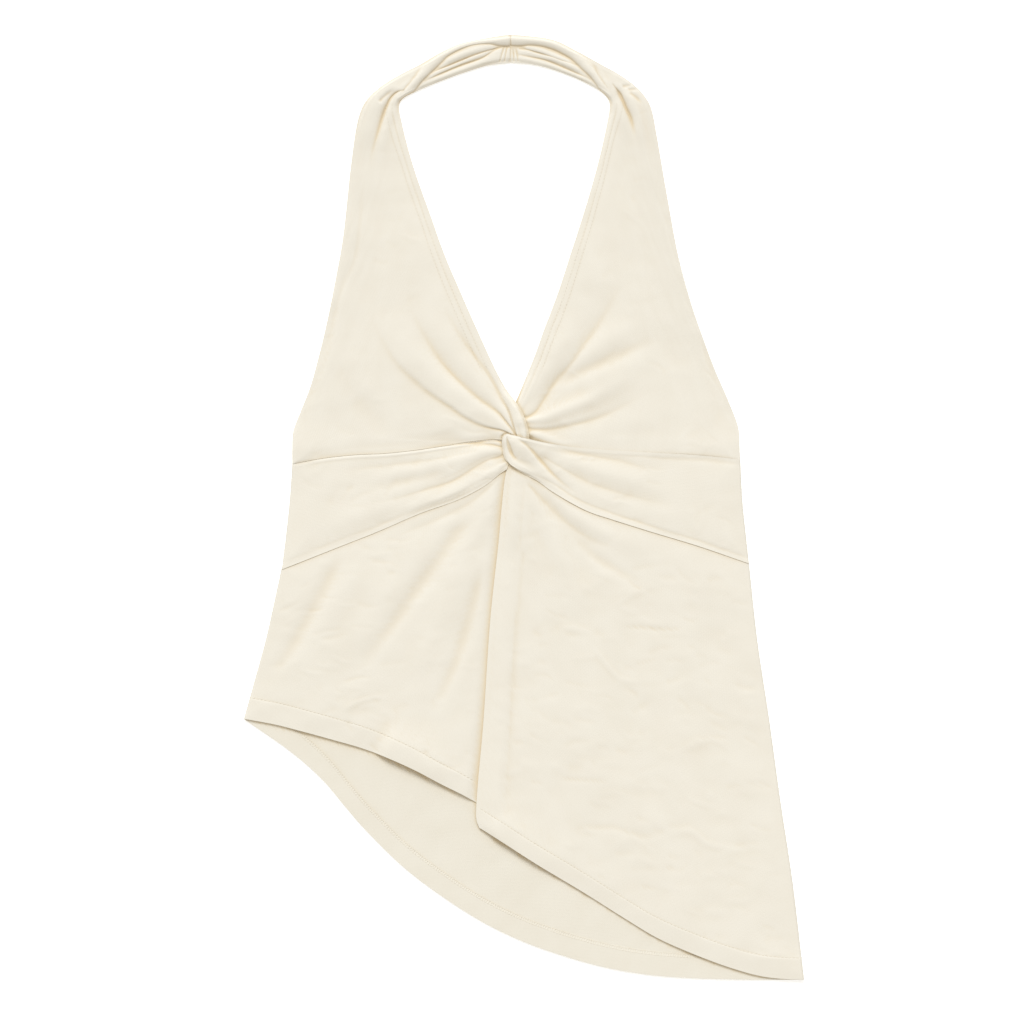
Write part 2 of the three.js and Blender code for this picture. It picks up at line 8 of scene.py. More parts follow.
import bpy
import numpy as np
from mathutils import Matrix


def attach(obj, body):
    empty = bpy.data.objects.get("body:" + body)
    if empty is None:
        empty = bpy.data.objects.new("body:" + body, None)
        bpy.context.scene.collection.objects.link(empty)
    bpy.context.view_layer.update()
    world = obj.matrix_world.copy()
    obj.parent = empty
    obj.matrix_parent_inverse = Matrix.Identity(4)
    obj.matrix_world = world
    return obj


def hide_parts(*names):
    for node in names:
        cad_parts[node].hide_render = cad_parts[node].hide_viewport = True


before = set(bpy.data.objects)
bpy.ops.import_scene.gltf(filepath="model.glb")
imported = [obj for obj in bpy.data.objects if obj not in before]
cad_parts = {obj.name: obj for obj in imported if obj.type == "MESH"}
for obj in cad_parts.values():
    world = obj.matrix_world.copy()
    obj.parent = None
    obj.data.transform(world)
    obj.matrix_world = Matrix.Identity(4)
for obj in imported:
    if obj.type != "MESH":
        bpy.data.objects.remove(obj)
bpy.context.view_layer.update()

# %% [markdown]
# The photograph looks straight down, so the camera hangs over the middle of the picture. An orthographic
# camera would do too, but a long lens is what a product photograph is taken with, and it leaves the
# outline almost free of perspective. A pixel of the photograph is 0.80 mm here, and one of its pixels is
# the frame's origin, so the lens and the camera's place follow from the width of the picture.

# %% Camera and floor
MM = 0.001
PIXEL = 0.8 * MM
PICTURE_PIXELS = 1024
ORIGIN_PIXEL = (524, 507)
MIDDLE = PICTURE_PIXELS / 2
PICTURE = PICTURE_PIXELS * PIXEL
PICTURE_CENTRE = ((MIDDLE - ORIGIN_PIXEL[0]) * PIXEL, (ORIGIN_PIXEL[1] - MIDDLE) * PIXEL)
CAMERA_HEIGHT = 2.5
SENSOR = 36.0

camera_data = bpy.data.cameras.new("camera")
camera_data.sensor_width = SENSOR
camera_data.lens = SENSOR * CAMERA_HEIGHT / PICTURE
camera_data.clip_end = 20
camera = bpy.data.objects.new("camera", camera_data)
camera.location = (*PICTURE_CENTRE, CAMERA_HEIGHT)
bpy.context.collection.objects.link(camera)
bpy.context.scene.camera = camera

FLOOR_HALF = 4.0
FLOOR_DROP = 0.3 * MM
FLOOR_SQUARE = ((-1, -1), (1, -1), (1, 1), (-1, 1))
FLOOR_CORNERS = [(x * FLOOR_HALF, y * FLOOR_HALF, -FLOOR_DROP) for x, y in FLOOR_SQUARE]
floor_mesh = bpy.data.meshes.new("floor")
floor_mesh.from_pydata(FLOOR_CORNERS, [], [(0, 1, 2, 3)])
floor = bpy.data.objects.new("floor", floor_mesh)
bpy.context.collection.objects.link(floor)
print("lens", round(camera_data.lens, 2), "mm")

# %% [markdown]
# Every cut edge is a smooth line through a few measured points, in millimetres. It could be a Bezier
# curve with handles, but a Catmull-Rom curve passes through its points, so a table of them is easy to
# read and to correct. Measuring along its length lets two edges of a piece be matched point for point.

# %% Smooth edge lines
CURVE_STEPS = 16


def smooth_step(t):
    t = np.clip(t, 0, 1)
    return t * t * (3 - 2 * t)


def through(points):
    p = np.array(points, float)
    p = np.vstack([2 * p[0] - p[1], p, 2 * p[-1] - p[-2]])
    traced = [p[1:2]]
    for a, b, c, d in zip(p[:-3], p[1:-2], p[2:-1], p[3:]):
        k = np.cumsum([0, *(np.linalg.norm(q - r) ** 0.5 for q, r in ((b, a), (c, b), (d, c)))])
        t = np.linspace(k[1], k[2], CURVE_STEPS + 1)[1:, None]
        ab = ((k[1] - t) * a + (t - k[0]) * b) / (k[1] - k[0])
        bc = ((k[2] - t) * b + (t - k[1]) * c) / (k[2] - k[1])
        cd = ((k[3] - t) * c + (t - k[2]) * d) / (k[3] - k[2])
        abc = ((k[2] - t) * ab + (t - k[0]) * bc) / (k[2] - k[0])
        bcd = ((k[3] - t) * bc + (t - k[1]) * cd) / (k[3] - k[1])
        traced.append(((k[2] - t) * abc + (t - k[1]) * bcd) / (k[2] - k[1]))
    return np.vstack(traced)


def edge(points):
    line = through(points)
    run = np.concatenate([[0], np.cumsum(np.linalg.norm(np.diff(line, axis=0), axis=1))])

    def at(t):
        s = np.clip(t, 0, 1) * run[-1]
        return np.stack([np.interp(s, run, line[:, 0]), np.interp(s, run, line[:, 1])], -1)

    at.length = run[-1]
    return at


# %% [markdown]
# A cut piece of cloth is a flat shape between seams. It could be a filled outline, but a grid of points
# is easier to fold. A four-sided piece is filled in between its edges: each point takes its place from
# the four edge lines at once. A bust panel is a long bent strip instead, so it is given by sections
# across it, each with a point on the neck edge and one on the outer edge. The last number keeps the outer
# corner at the side seam sharp.

# %% Two ways to lay out a piece


def four_sided(top, bottom, left, right):
    corners = [line(np.array(t)) for line, t in ((top, 0.0), (top, 1.0), (bottom, 0.0), (bottom, 1.0))]

    def at(u, v):
        a, b = u[..., None], v[..., None]
        along = (1 - b) * top(u) + b * bottom(u) + (1 - a) * left(v) + a * right(v)
        flat = (1 - b) * ((1 - a) * corners[0] + a * corners[1]) + b * ((1 - a) * corners[2] + a * corners[3])
        return along - flat

    return at


def strap(sections):
    rows = np.array(sections, float)
    points, corner = rows[:, :4], rows[:, 4] > 0
    before, after = np.vstack([points[:1], points[:-1]]), np.vstack([points[1:], points[-1:]])
    slope = (after - before) / 2

    def at(u, v):
        place = v * (len(points) - 1)
        i = np.clip(np.floor(place).astype(int), 0, len(points) - 2)
        t = (place - i)[..., None]
        step = points[i + 1] - points[i]
        a, b = slope[i].copy(), slope[i + 1].copy()
        a[..., 2:] = np.where(corner[i][..., None], step[..., 2:], a[..., 2:])
        b[..., 2:] = np.where(corner[i + 1][..., None], step[..., 2:], b[..., 2:])
        p = points[i] * (2 * t**3 - 3 * t**2 + 1) + a * (t**3 - 2 * t**2 + t)
        p = p + points[i + 1] * (3 * t**2 - 2 * t**3) + b * (t**3 - t**2)
        return p[..., :2] * (1 - u[..., None]) + p[..., 2:] * u[..., None]

    return at


# %% [markdown]
# Folds are what make cloth look like cloth. They could be sculpted, or left to a simulation, but here
# each has a known place, so each is drawn: a line, how high it stands (or how deep it is, below 0) and
# how wide. Side 0 is even on both sides; side -1 or 1 laps over, high on one side of its line and
# dropping sharply on the other. The two strengths say how strong it is at its first and last point. A
# fold that is strong at its first point only is a gather: it starts pinched and fans out.

# %% Folds drawn one by one
FOLD_REACH = 5
FADE = 0.22
LAP_RUN = 2.4
LAP_OPENS = 4.0
FANNING = 0.6
PINCH = 0.35
GATHER_OPENS = 0.4
ROOT_STRENGTH = 0.45
CREASE_POWER = 1.35


def nearest_on(line, x, y):
    best, along, sign = np.full(x.shape, np.inf), np.zeros(x.shape), np.zeros(x.shape)
    for i, (a, b) in enumerate(zip(line[:-1], line[1:])):
        d = b - a
        t = np.clip(((x - a[0]) * d[0] + (y - a[1]) * d[1]) / (d @ d + 1e-9), 0, 1)
        away = (x - a[0] - t * d[0]) ** 2 + (y - a[1] - t * d[1]) ** 2
        closer = away < best
        best = np.where(closer, away, best)
        along = np.where(closer, (i + t) / (len(line) - 1), along)
        sign = np.where(closer, np.sign(d[0] * (y - a[1]) - d[1] * (x - a[0])), sign)
    return np.sqrt(best), along, sign


def drawn_folds(folds, x, y):
    lift = np.zeros_like(x)
    for name, height, width, side, first, last, points in folds:
        line = through(points)[::3]
        reach = FOLD_REACH * width
        near_box = (x > line[:, 0].min() - reach) & (x < line[:, 0].max() + reach)
        near_box &= (y > line[:, 1].min() - reach) & (y < line[:, 1].max() + reach)
        if not near_box.any():
            continue
        away, along, sign = nearest_on(line, x[near_box], y[near_box])
        gather = first > 0 and last == 0
        opened = smooth_step(along / GATHER_OPENS) if gather else 1.0
        distance = away / (PINCH + (1 - PINCH) * opened + FANNING * along * gather)
        strength = first + (1 - first) * smooth_step(along / FADE)
        strength *= last + (1 - last) * smooth_step((1 - along) / (FADE * 2))
        strength *= ROOT_STRENGTH + (1 - ROOT_STRENGTH) * opened
        power = CREASE_POWER if height < 0 and first > 0 else 2.0
        shape = np.exp(-((distance / width) ** power))
        if side:
            shape *= smooth_step(0.5 + sign * side * away / (LAP_RUN + LAP_OPENS * along))
        lift[near_box] += height * strength * shape
    return lift


# %% [markdown]
# Between the drawn folds, jersey is never dead flat. A Displace modifier with a noise could do this, but
# it would push the cloth into the layer below. A slow, seeded ripple a fraction of a millimetre high
# gives the broad soft unevenness, and is the same on every run. Three sizes are added: 46, 20 and 8 mm
# from swell to swell.

# %% Soft unevenness
LATTICE = 64
RIPPLE_CORNER = (-300.0, -460.0)


def ripple(x, y, size, seed):
    lattice = np.random.default_rng(seed).uniform(-1, 1, (LATTICE, LATTICE))
    gx, gy = (x - RIPPLE_CORNER[0]) / size, (y - RIPPLE_CORNER[1]) / size
    i, j = np.floor(gx).astype(int), np.floor(gy).astype(int)
    a, b = smooth_step(gx - i), smooth_step(gy - j)
    pick = lambda di, dj: lattice[(j + dj) % LATTICE, (i + di) % LATTICE]
    return (1 - b) * ((1 - a) * pick(0, 0) + a * pick(1, 0)) + b * ((1 - a) * pick(0, 1) + a * pick(1, 1))


def unevenness(x, y, seed):
    slow = ripple(x + 0.35 * y, y - 0.2 * x, 46, seed) * 0.42
    middle = ripple(x - 0.3 * y, y + 0.3 * x, 20, seed + 1) * 0.24
    fine = ripple(0.6 * x, y, 8, seed + 2) * 0.07
    return slow + middle + fine


# %% [markdown]
# Cloth that has been folded and pressed keeps many faint, short creases. They could be a bump map, but
# then they would cast no shadow. They are scattered by a seeded generator over a piece's own plan, mostly
# across it, and are far lower than the drawn folds.

# %% Faint creases


def crumples(plan, seed, count, angle, spread, height=0.2):
    scatter = np.random.default_rng(seed)
    rows = []
    for unused in range(count):
        middle = plan(*(np.array(place) for place in scatter.uniform(0.04, 0.96, 2)))
        turn = np.radians(angle + scatter.normal(0, spread))
        length = scatter.uniform(9, 34)
        half = np.array([np.cos(turn), np.sin(turn)]) * length / 2
        bend = np.array([-half[1], half[0]]) * scatter.normal(0, 0.25)
        stands = height * scatter.uniform(0.35, 1) * scatter.choice([-1, 1])
        width = scatter.uniform(1.3, 3.4)
        rows.append(("crumple", stands, width, 0, 0, 0, [middle - half, middle + bend, middle + half]))
    return rows


# %% [markdown]
# A piece rests a little off what is below it, so that a crease has somewhere to sink to, and comes down
# at its own edges. In the knot, where the layers are rolled up tightly, its edge is thin and round. At a
# seam it is sewn flat, except in the bulk of the knot. Each of these is a share from 0 to 1 that depends
# only on how far a point is from the knot, an edge or a seam, which is easier to steer than weights
# painted by hand.

# %% How high cloth rests
KNOT = (-8.0, 60.0)
PILE_REACH = 26.0
PILE_FADE = 30.0
REST = 1.0
REST_START = 8.0
REST_RUN = 30.0
RIM_RUN = 4.0
ROLL_SHARE = 0.65
ROLL_RUN = 2.6
SEAM_REACH = 12.0


def off_the_knot(x, y):
    return smooth_step((np.hypot(x - KNOT[0], y - KNOT[1]) - PILE_REACH) / PILE_FADE)


def from_line(x, y, line):
    away = np.full(x.shape, np.inf)
    for px, py in line(np.linspace(0, 1, 91)):
        away = np.minimum(away, np.hypot(x - px, y - py))
    return away


def from_edge(x, y, rows=(0, -1)):
    sides = [np.hypot(x - x[:, k][:, None], y - y[:, k][:, None]) for k in (0, -1)]
    ends = [np.hypot(x - x[k], y - y[k]) for k in rows]
    return np.minimum.reduce(sides + ends)


def rest(x, y):
    return REST * smooth_step((from_edge(x, y) + REST_START) / REST_RUN)


def at_rims(x, y, rows=(0, -1)):
    return smooth_step(from_edge(x, y, rows) / RIM_RUN)


def rolled_thin(x, y):
    return 1 - ROLL_SHARE * (1 - smooth_step(from_edge(x, y) / ROLL_RUN)) * (1 - off_the_knot(x, y))


def sewn_flat(x, y, seam, reach=7.0):
    return 1 - off_the_knot(x, y) * (1 - smooth_step(from_line(x, y, seam) / reach))


def at_seam(x, y, seam):
    return 1 - smooth_step(from_line(x, y, seam) / SEAM_REACH)


# %% [markdown]
# Laying a piece: a height map holds the top of everything laid so far. A new piece must clear it by a
# small gap, comes down to the floor no more steeply than cloth would, and is then smoothed wherever it
# hangs free. That is far quicker than a cloth simulation, gives the same result every time and never cuts
# into a layer.

# %% Height map and draping
CLOTH = 1.0
GAP = 0.1
MAP_CELL = 0.6
MAP_CORNER = (-240.0, -392.0)
MAP_SHAPE = (1310, 800)
SLOPE = 0.13
FALL_PASSES = 40
SMOOTH_PASSES = 24
FILL_IN = np.linspace(0, 1, 5)
ground = np.zeros(MAP_SHAPE)


def map_cells(x, y):
    i = np.clip(((x - MAP_CORNER[0]) / MAP_CELL).astype(int), 0, MAP_SHAPE[1] - 1)
    j = np.clip(((y - MAP_CORNER[1]) / MAP_CELL).astype(int), 0, MAP_SHAPE[0] - 1)
    return j, i


def widened(heights, cells):
    for axis in (0, 1):
        for unused in range(cells):
            heights = np.maximum.reduce([heights, np.roll(heights, 1, axis), np.roll(heights, -1, axis)])
    return heights


def stamp(x, y, top):
    quad = lambda g: (g[:-1, :-1], g[:-1, 1:], g[1:, :-1], g[1:, 1:])
    for a in FILL_IN:
        for b in FILL_IN:
            mixed = [
                (1 - a) * (1 - b) * p + a * (1 - b) * q + (1 - a) * b * r + a * b * s
                for p, q, r, s in (quad(x), quad(y), quad(top))
            ]
            np.maximum.at(ground, map_cells(mixed[0], mixed[1]), mixed[2])


def shifted(grid, step, axis):
    moved = np.roll(grid, step, axis)
    index = [slice(None)] * 2
    index[axis] = 0 if step > 0 else -1
    moved[tuple(index)] = grid[tuple(index)]
    return moved


def drape(x, y, below, slope=SLOPE):
    below = below[map_cells(x, y)]
    need = np.where(below > 0, below + GAP, 0)
    z = need.copy()
    sides = [(step, axis) for step in (1, -1) for axis in (0, 1)]
    away = [np.hypot(x - shifted(x, *s), y - shifted(y, *s)) + 1e-3 for s in sides]
    for unused in range(FALL_PASSES):
        for s, run in zip(sides, away):
            z = np.maximum(z, shifted(z, *s) - slope * run)
    for unused in range(SMOOTH_PASSES):
        z = np.maximum(need, sum(shifted(z, *s) for s in sides) / 4)
    return z


# %% [markdown]
# A laid piece becomes a closed shell: the seen face, the face beneath it, and a rim that bulges a little,
# as a folded or overlocked edge does. A Solidify modifier would do that too, but it measures the wall
# across the surface, which cuts into the layer below on steep folds. Here the wall is measured upwards
# and grows on slopes, so it keeps its thickness and stays clear.

# %% Rim and faces of a shell
RIM_BULGE = 0.12


def ring_of(rows, columns):
    ring = [(0, i) for i in range(columns)] + [(j, columns - 1) for j in range(1, rows)]
    ring += [(rows - 1, i) for i in range(columns - 2, -1, -1)] + [(j, 0) for j in range(rows - 2, 0, -1)]
    return np.array(ring)


def rim_points(upper, lower, ring):
    rows, columns = upper.shape[:2]
    inner = np.clip(ring, 1, [rows - 2, columns - 2])
    top_edge, low_edge = upper[ring[:, 0], ring[:, 1]], lower[ring[:, 0], ring[:, 1]]
    out = top_edge - upper[inner[:, 0], inner[:, 1]]
    out[:, 2] = 0
    out /= np.linalg.norm(out, axis=1)[:, None] + 1e-9
    thick = np.linalg.norm(top_edge - low_edge, axis=1)[:, None]
    return (top_edge + low_edge) / 2 + out * thick * RIM_BULGE


def shell_faces(rows, columns, ring):
    count = rows * columns
    a = (np.arange(rows - 1)[:, None] * columns + np.arange(columns - 1)).ravel()
    top_faces = np.stack([a, a + columns, a + columns + 1, a + 1], 1)
    low_faces = np.stack([a, a + 1, a + columns + 1, a + columns], 1) + count
    edge_point = ring[:, 0] * columns + ring[:, 1]
    next_point = np.roll(edge_point, -1)
    rim = 2 * count + np.arange(len(ring))
    next_rim = np.roll(rim, -1)
    rim_above = np.stack([edge_point, next_point, next_rim, rim], 1)
    rim_below = np.stack([rim, next_rim, count + next_point, count + edge_point], 1)
    return top_faces, np.vstack([top_faces, low_faces, rim_above, rim_below])


# %% [markdown]
# The grid also gives each piece its own UV map in metres, so the knit can follow the cut of that piece. A
# projection from above would stretch the knit where the cloth bends round the shoulder.

# %% Cloth shells
STEEP = 1.7
SHELL_SIZE = {}


def wall_up(x, y, z, wall):
    across = [np.gradient(g, axis=1) for g in (x, y, z)]
    down = [np.gradient(g, axis=0) for g in (x, y, z)]
    normal = np.cross(np.stack(across, -1), np.stack(down, -1))
    upright = np.abs(normal[..., 2]) / (np.linalg.norm(normal, axis=-1) + 1e-12)
    return wall * np.minimum(STEEP, 1 / np.maximum(upright, 0.01))


def grid_uv(x, y):
    run = lambda axis: np.hypot(np.diff(x, axis=axis), np.diff(y, axis=axis))
    u = np.hstack([np.zeros((x.shape[0], 1)), np.cumsum(run(1), axis=1)])
    v = np.vstack([np.zeros((1, x.shape[1])), np.cumsum(run(0), axis=0)])
    return np.stack([u, v], -1)


def shell(name, upper, lower, uv):
    ring = ring_of(*upper.shape[:2])
    points = np.vstack([upper.reshape(-1, 3), lower.reshape(-1, 3), rim_points(upper, lower, ring)]) * MM
    top_faces, faces = shell_faces(*upper.shape[:2], ring)
    corners = points[top_faces]
    if np.cross(corners[:, 1] - corners[:, 0], corners[:, 2] - corners[:, 0])[:, 2].sum() < 0:
        faces = faces[:, ::-1]
    mesh = bpy.data.meshes.new(name)
    mesh.from_pydata(points, [], faces)
    place = np.vstack([uv.reshape(-1, 2), uv.reshape(-1, 2), uv[ring[:, 0], ring[:, 1]]]) * MM
    layer = mesh.uv_layers.new(name="cloth")
    loops = np.empty(len(mesh.loops), int)
    mesh.loops.foreach_get("vertex_index", loops)
    layer.data.foreach_set("uv", place[loops].ravel())
    mesh.shade_smooth()
    piece = bpy.data.objects.new(name, mesh)
    SHELL_SIZE[name] = upper.shape[0] * upper.shape[1]
    bpy.context.collection.objects.link(piece)
    return piece


# %% [markdown]
# Laying a piece puts all of this together. Ridges lift the cloth off what is below; creases are a groove
# in its seen face, no deeper than about half the wall, so they never cut into a layer. A piece may say
# how thick its wall is (share), where it lies still (quiet), what rises at its hem (extra), where the
# pile below lifts it (loft) and which of its end rows are free edges (rows). It may also have its own
# count of faint creases (small), heights to rest on (below) and steepness where it comes down (slope).
# Two pieces joined at a seam keep the same height there, where a free edge would come down (joined,
# joint).

# %% Lay a piece
GROOVE = 0.55
surfaces = {}


def lay(name, plan, across, down, folds, loft=(), seed=1, extra=None, quiet=None, share=None,
        small=40, below=None, slope=SLOPE, joined=None, joint=1.0, rows=(0, -1)):
    u, v = np.meshgrid(across, down)
    x, y = np.moveaxis(plan(u, v), -1, 0)
    z = drape(x, y, widened(ground, 2) if below is None else below, slope)
    wall = CLOTH * (share(x, y, z) if share else 1) * rolled_thin(x, y)
    lift = drawn_folds(folds + crumples(plan, seed + 5, small, 8, 30, 0.14), x, y)
    lift += unevenness(x, y, seed) + rest(x, y)
    for height, reach, (cx, cy) in loft:
        lift += height * np.exp(-((x - cx) ** 2 + (y - cy) ** 2) / reach**2)
    if quiet:
        lift = lift * quiet(x, y)
    rims = at_rims(x, y, rows)
    if joined:
        rims = rims + (1 - rims) * joint * at_seam(x, y, joined)
    z = z + np.maximum(0, lift) * rims
    groove = np.maximum(-GROOVE * wall, np.minimum(0, lift))
    top = z + wall_up(x, y, z, wall) + groove + (extra(x, y, u, v) if extra else 0)
    stamp(x, y, top)
    surfaces[name] = (x, y, top)
    piece = shell(name, np.stack([x, y, top], -1), np.stack([x, y, z], -1), grid_uv(x, y))
    print(name, "faces", len(piece.data.polygons), "highest", round(float(top.max()), 1), "mm")
    return piece


# %% [markdown]
# The hem is turned up once and stitched 17.6 mm in, so it stands a little higher than the panel. A second
# layer could be laid for it, but only the step and the dip of the stitches show. Rows of the grid are
# kept parallel to the hem edge there, close together where the step rises.

# %% Hem rows
HEM_DEPTH = 17.6
HEM_STEP = 0.14
STITCH_DIP = 0.2
HEM_RISE = 1.6
HEM_INS = (
    22, 20.4, 19.4, 18.8, 18.2, HEM_DEPTH, 17, 16.4, 15.6, 14.4, 12.4, 10, 7.4, 5, 3, 1.6, 0.8, 0.3, 0.1, 0,
)


def hem_rows(count):
    parts = [(i / count, HEM_INS[0]) for i in range(count + 1)]
    return parts + [(1.0, inward) for inward in HEM_INS[1:]]


def hemmed(plan, rows):
    parts, inward = (np.array(column) for column in zip(*rows))

    def at(u, v):
        j = np.rint(v * (len(rows) - 1)).astype(int)
        zero = np.zeros_like(u)
        length = np.linalg.norm(plan(u, zero + 1) - plan(u, zero), axis=-1)
        return plan(u, parts[j] * (1 - inward[j] / length))

    return at


def hem_step(rows, step=HEM_STEP):
    inward = np.array([row[1] for row in rows])
    first = len(rows) - len(HEM_INS)

    def at(x, y, u, v):
        j = np.rint(v * (len(rows) - 1)).astype(int)
        rise = step * smooth_step((HEM_DEPTH + HEM_RISE - inward[j]) / HEM_RISE)
        dip = STITCH_DIP * np.exp(-(((inward[j] - HEM_DEPTH) / 0.8) ** 2))
        return (rise - dip) * (j >= first)

    return at


# %% [markdown]
# The lines of a grid need not be evenly spaced. They are set closer where the surface turns quickly,
# which takes fewer faces than a fine grid all over: beside both edges, and towards an end.

# %% Spacing of the grid lines
even = lambda cells: np.linspace(0, 1, cells + 1)
closer = lambda cells: even(cells) ** 1.4


def edged(cells, near=0.004):
    start = [0, near * 0.3, near]
    end = [1 - near, 1 - near * 0.3, 1]
    return np.concatenate([start, np.linspace(near * 3, 1 - near * 3, cells + 1), end])


def fine_end(cells, steps, last=45):
    coarse = even(cells)[even(cells) < 1 - 1.05 / steps]
    return np.append(coarse, np.linspace(1 - 1 / steps, 1, last))


print("across the back panel:", len(edged(194, 0.002)), "grid lines")

# %% [markdown]
# Where cloth is sewn or covered it is pressed thin, from a full wall a few millimetres in. That is what
# makes two pieces meet in a fine line, instead of as two rims side by side.

# %% Seams pressed thin
SEAM_RUN = 2.2
SEAM_START = 0.3


def thinner(x, y, seam, thin=0.4, reach=5.0):
    return thin + (1 - thin) * smooth_step((from_line(x, y, seam) - SEAM_START) / reach)


# %% [markdown]
# The back panel lies lowest with its inside up. It is one plain shape, so it is filled in between its
# four edges: the hidden top edge straight across under the arms, the two sides and the long curved hem.
# Only a strip of it shows, so it lies still, with a hem and no folds of its own.

# %% Back panel
BACK_TOP = edge([
    (-184.6, 58), (-100, 52), (-8, 49), (90, 54), (171.2, 62),
])
BACK_SIDE_LEFT = edge([
    (-184.6, 58), (-185.2, 34), (-187.6, 0), (-193.4, -49), (-199.2, -74.4), (-206.4, -106.4),
    (-215.2, -138.4), (-223.8, -169.6),
])
BACK_SIDE_RIGHT = edge([
    (171.2, 62), (172.8, 38), (174.4, 5.6), (179.8, -45.2), (186.4, -106.4), (196, -170.4),
    (204.8, -234.4), (214.4, -298.4), (223.8, -378),
])
HEM_BACK = edge([
    (-223.8, -169.6), (-207.2, -180.8), (-191.2, -192), (-175.2, -204.8), (-159.2, -220),
    (-143.2, -239.2), (-127.2, -257.6), (-95.2, -288.8), (-63.2, -312.8), (-31.2, -332.8), (0.8, -348),
    (32.8, -359.2), (64.8, -368), (96.8, -373.6), (128.8, -376.4), (176.8, -377.8), (223.8, -378),
])
BACK_ROWS = hem_rows(110)
back_plan = hemmed(four_sided(BACK_TOP, HEM_BACK, BACK_SIDE_LEFT, BACK_SIDE_RIGHT), BACK_ROWS)
back_panel = lay("back_cloth", back_plan, edged(194, 0.002), even(len(BACK_ROWS) - 1), [], seed=3,
                 extra=hem_step(BACK_ROWS, 0.4), quiet=lambda x, y: np.zeros_like(x), small=0,
                 share=lambda x, y, z: thinner(x, y, BACK_TOP, 0.12, 14))

# %% [markdown]
# Away from the knot, a piece that lies over its neighbour's seam allowance would show a step there.
# Pressing takes it out on the real top, so here the wall gives up what it has climbed above the back
# panel, down to the least share that it is given.

# %% Pressed over a seam allowance
widened_back = widened(ground, 2)


def pressed(x, y, z, least):
    climb = np.maximum(0, z - drape(x, y, widened_back))
    return np.maximum(least, 1 - off_the_knot(x, y) * climb / CLOTH)


print("top of the back panel:", round(float(widened_back.max()), 2), "mm")

# %% [markdown]
# The front skirt is one panel with a knife pleat: the cloth on the left runs on beneath the fold, turns
# back, and turns again at the fold to become the cloth on the right. Its edges and its folds come first.
# The seam under the band is the top edge, and the hem is in two parts that meet at the fold.

# %% Front skirt edges and folds
SIDE_SKIRT_LEFT = edge([
    (-193.4, -47), (-199.2, -74.4), (-206.4, -106.4), (-215.2, -138.4), (-223.8, -169.2),
])
SIDE_SKIRT_RIGHT = edge([
    (179.4, -42), (186.4, -106.4), (196, -170.4), (204.8, -234.4), (214.4, -298.4), (223.8, -377.8),
])
SKIRT_TOP_LEFT = edge([
    (-193.4, -47), (-148, -28.6), (-115.2, -15.8), (-83.2, -2), (-51.2, 9.8), (-30.4, 21), (-13, 33.6),
    (5.8, 38),
])
SKIRT_TOP_RIGHT = edge([
    (-11.2, 38), (0, 31), (12, 24), (24, 15.8), (50.4, 0.4), (70.4, -6.6), (100.8, -16.2),
    (139.2, -27.8), (179.4, -42),
])
PLEAT_FOLD = edge([
    (-11.2, 38), (-13.6, 29.5), (-15.2, 20.8), (-17.6, -2.4), (-19.7, -26.4), (-26.4, -88.8),
    (-32.3, -175.2), (-37.2, -231), (-37.6, -250), (-35.2, -256.6),
])
HEM_LEFT = edge([
    (-223.8, -169.2), (-198.4, -174), (-176, -179.8), (-152.3, -186.4), (-131.6, -192.4),
    (-109.6, -200.6), (-87.2, -210.9), (-68, -221.3), (-50.4, -230.2), (-38.4, -237.2),
    (-20.4, -248.5),
])
HEM_RIGHT = edge([
    (-35.2, -256.6), (-18.7, -266.8), (10.4, -285.6), (49.1, -309), (78.2, -327.4), (107.2, -344.8),
    (136.4, -357.6), (165.6, -368.4), (188.8, -374.8), (206, -377), (223.8, -377.8),
])
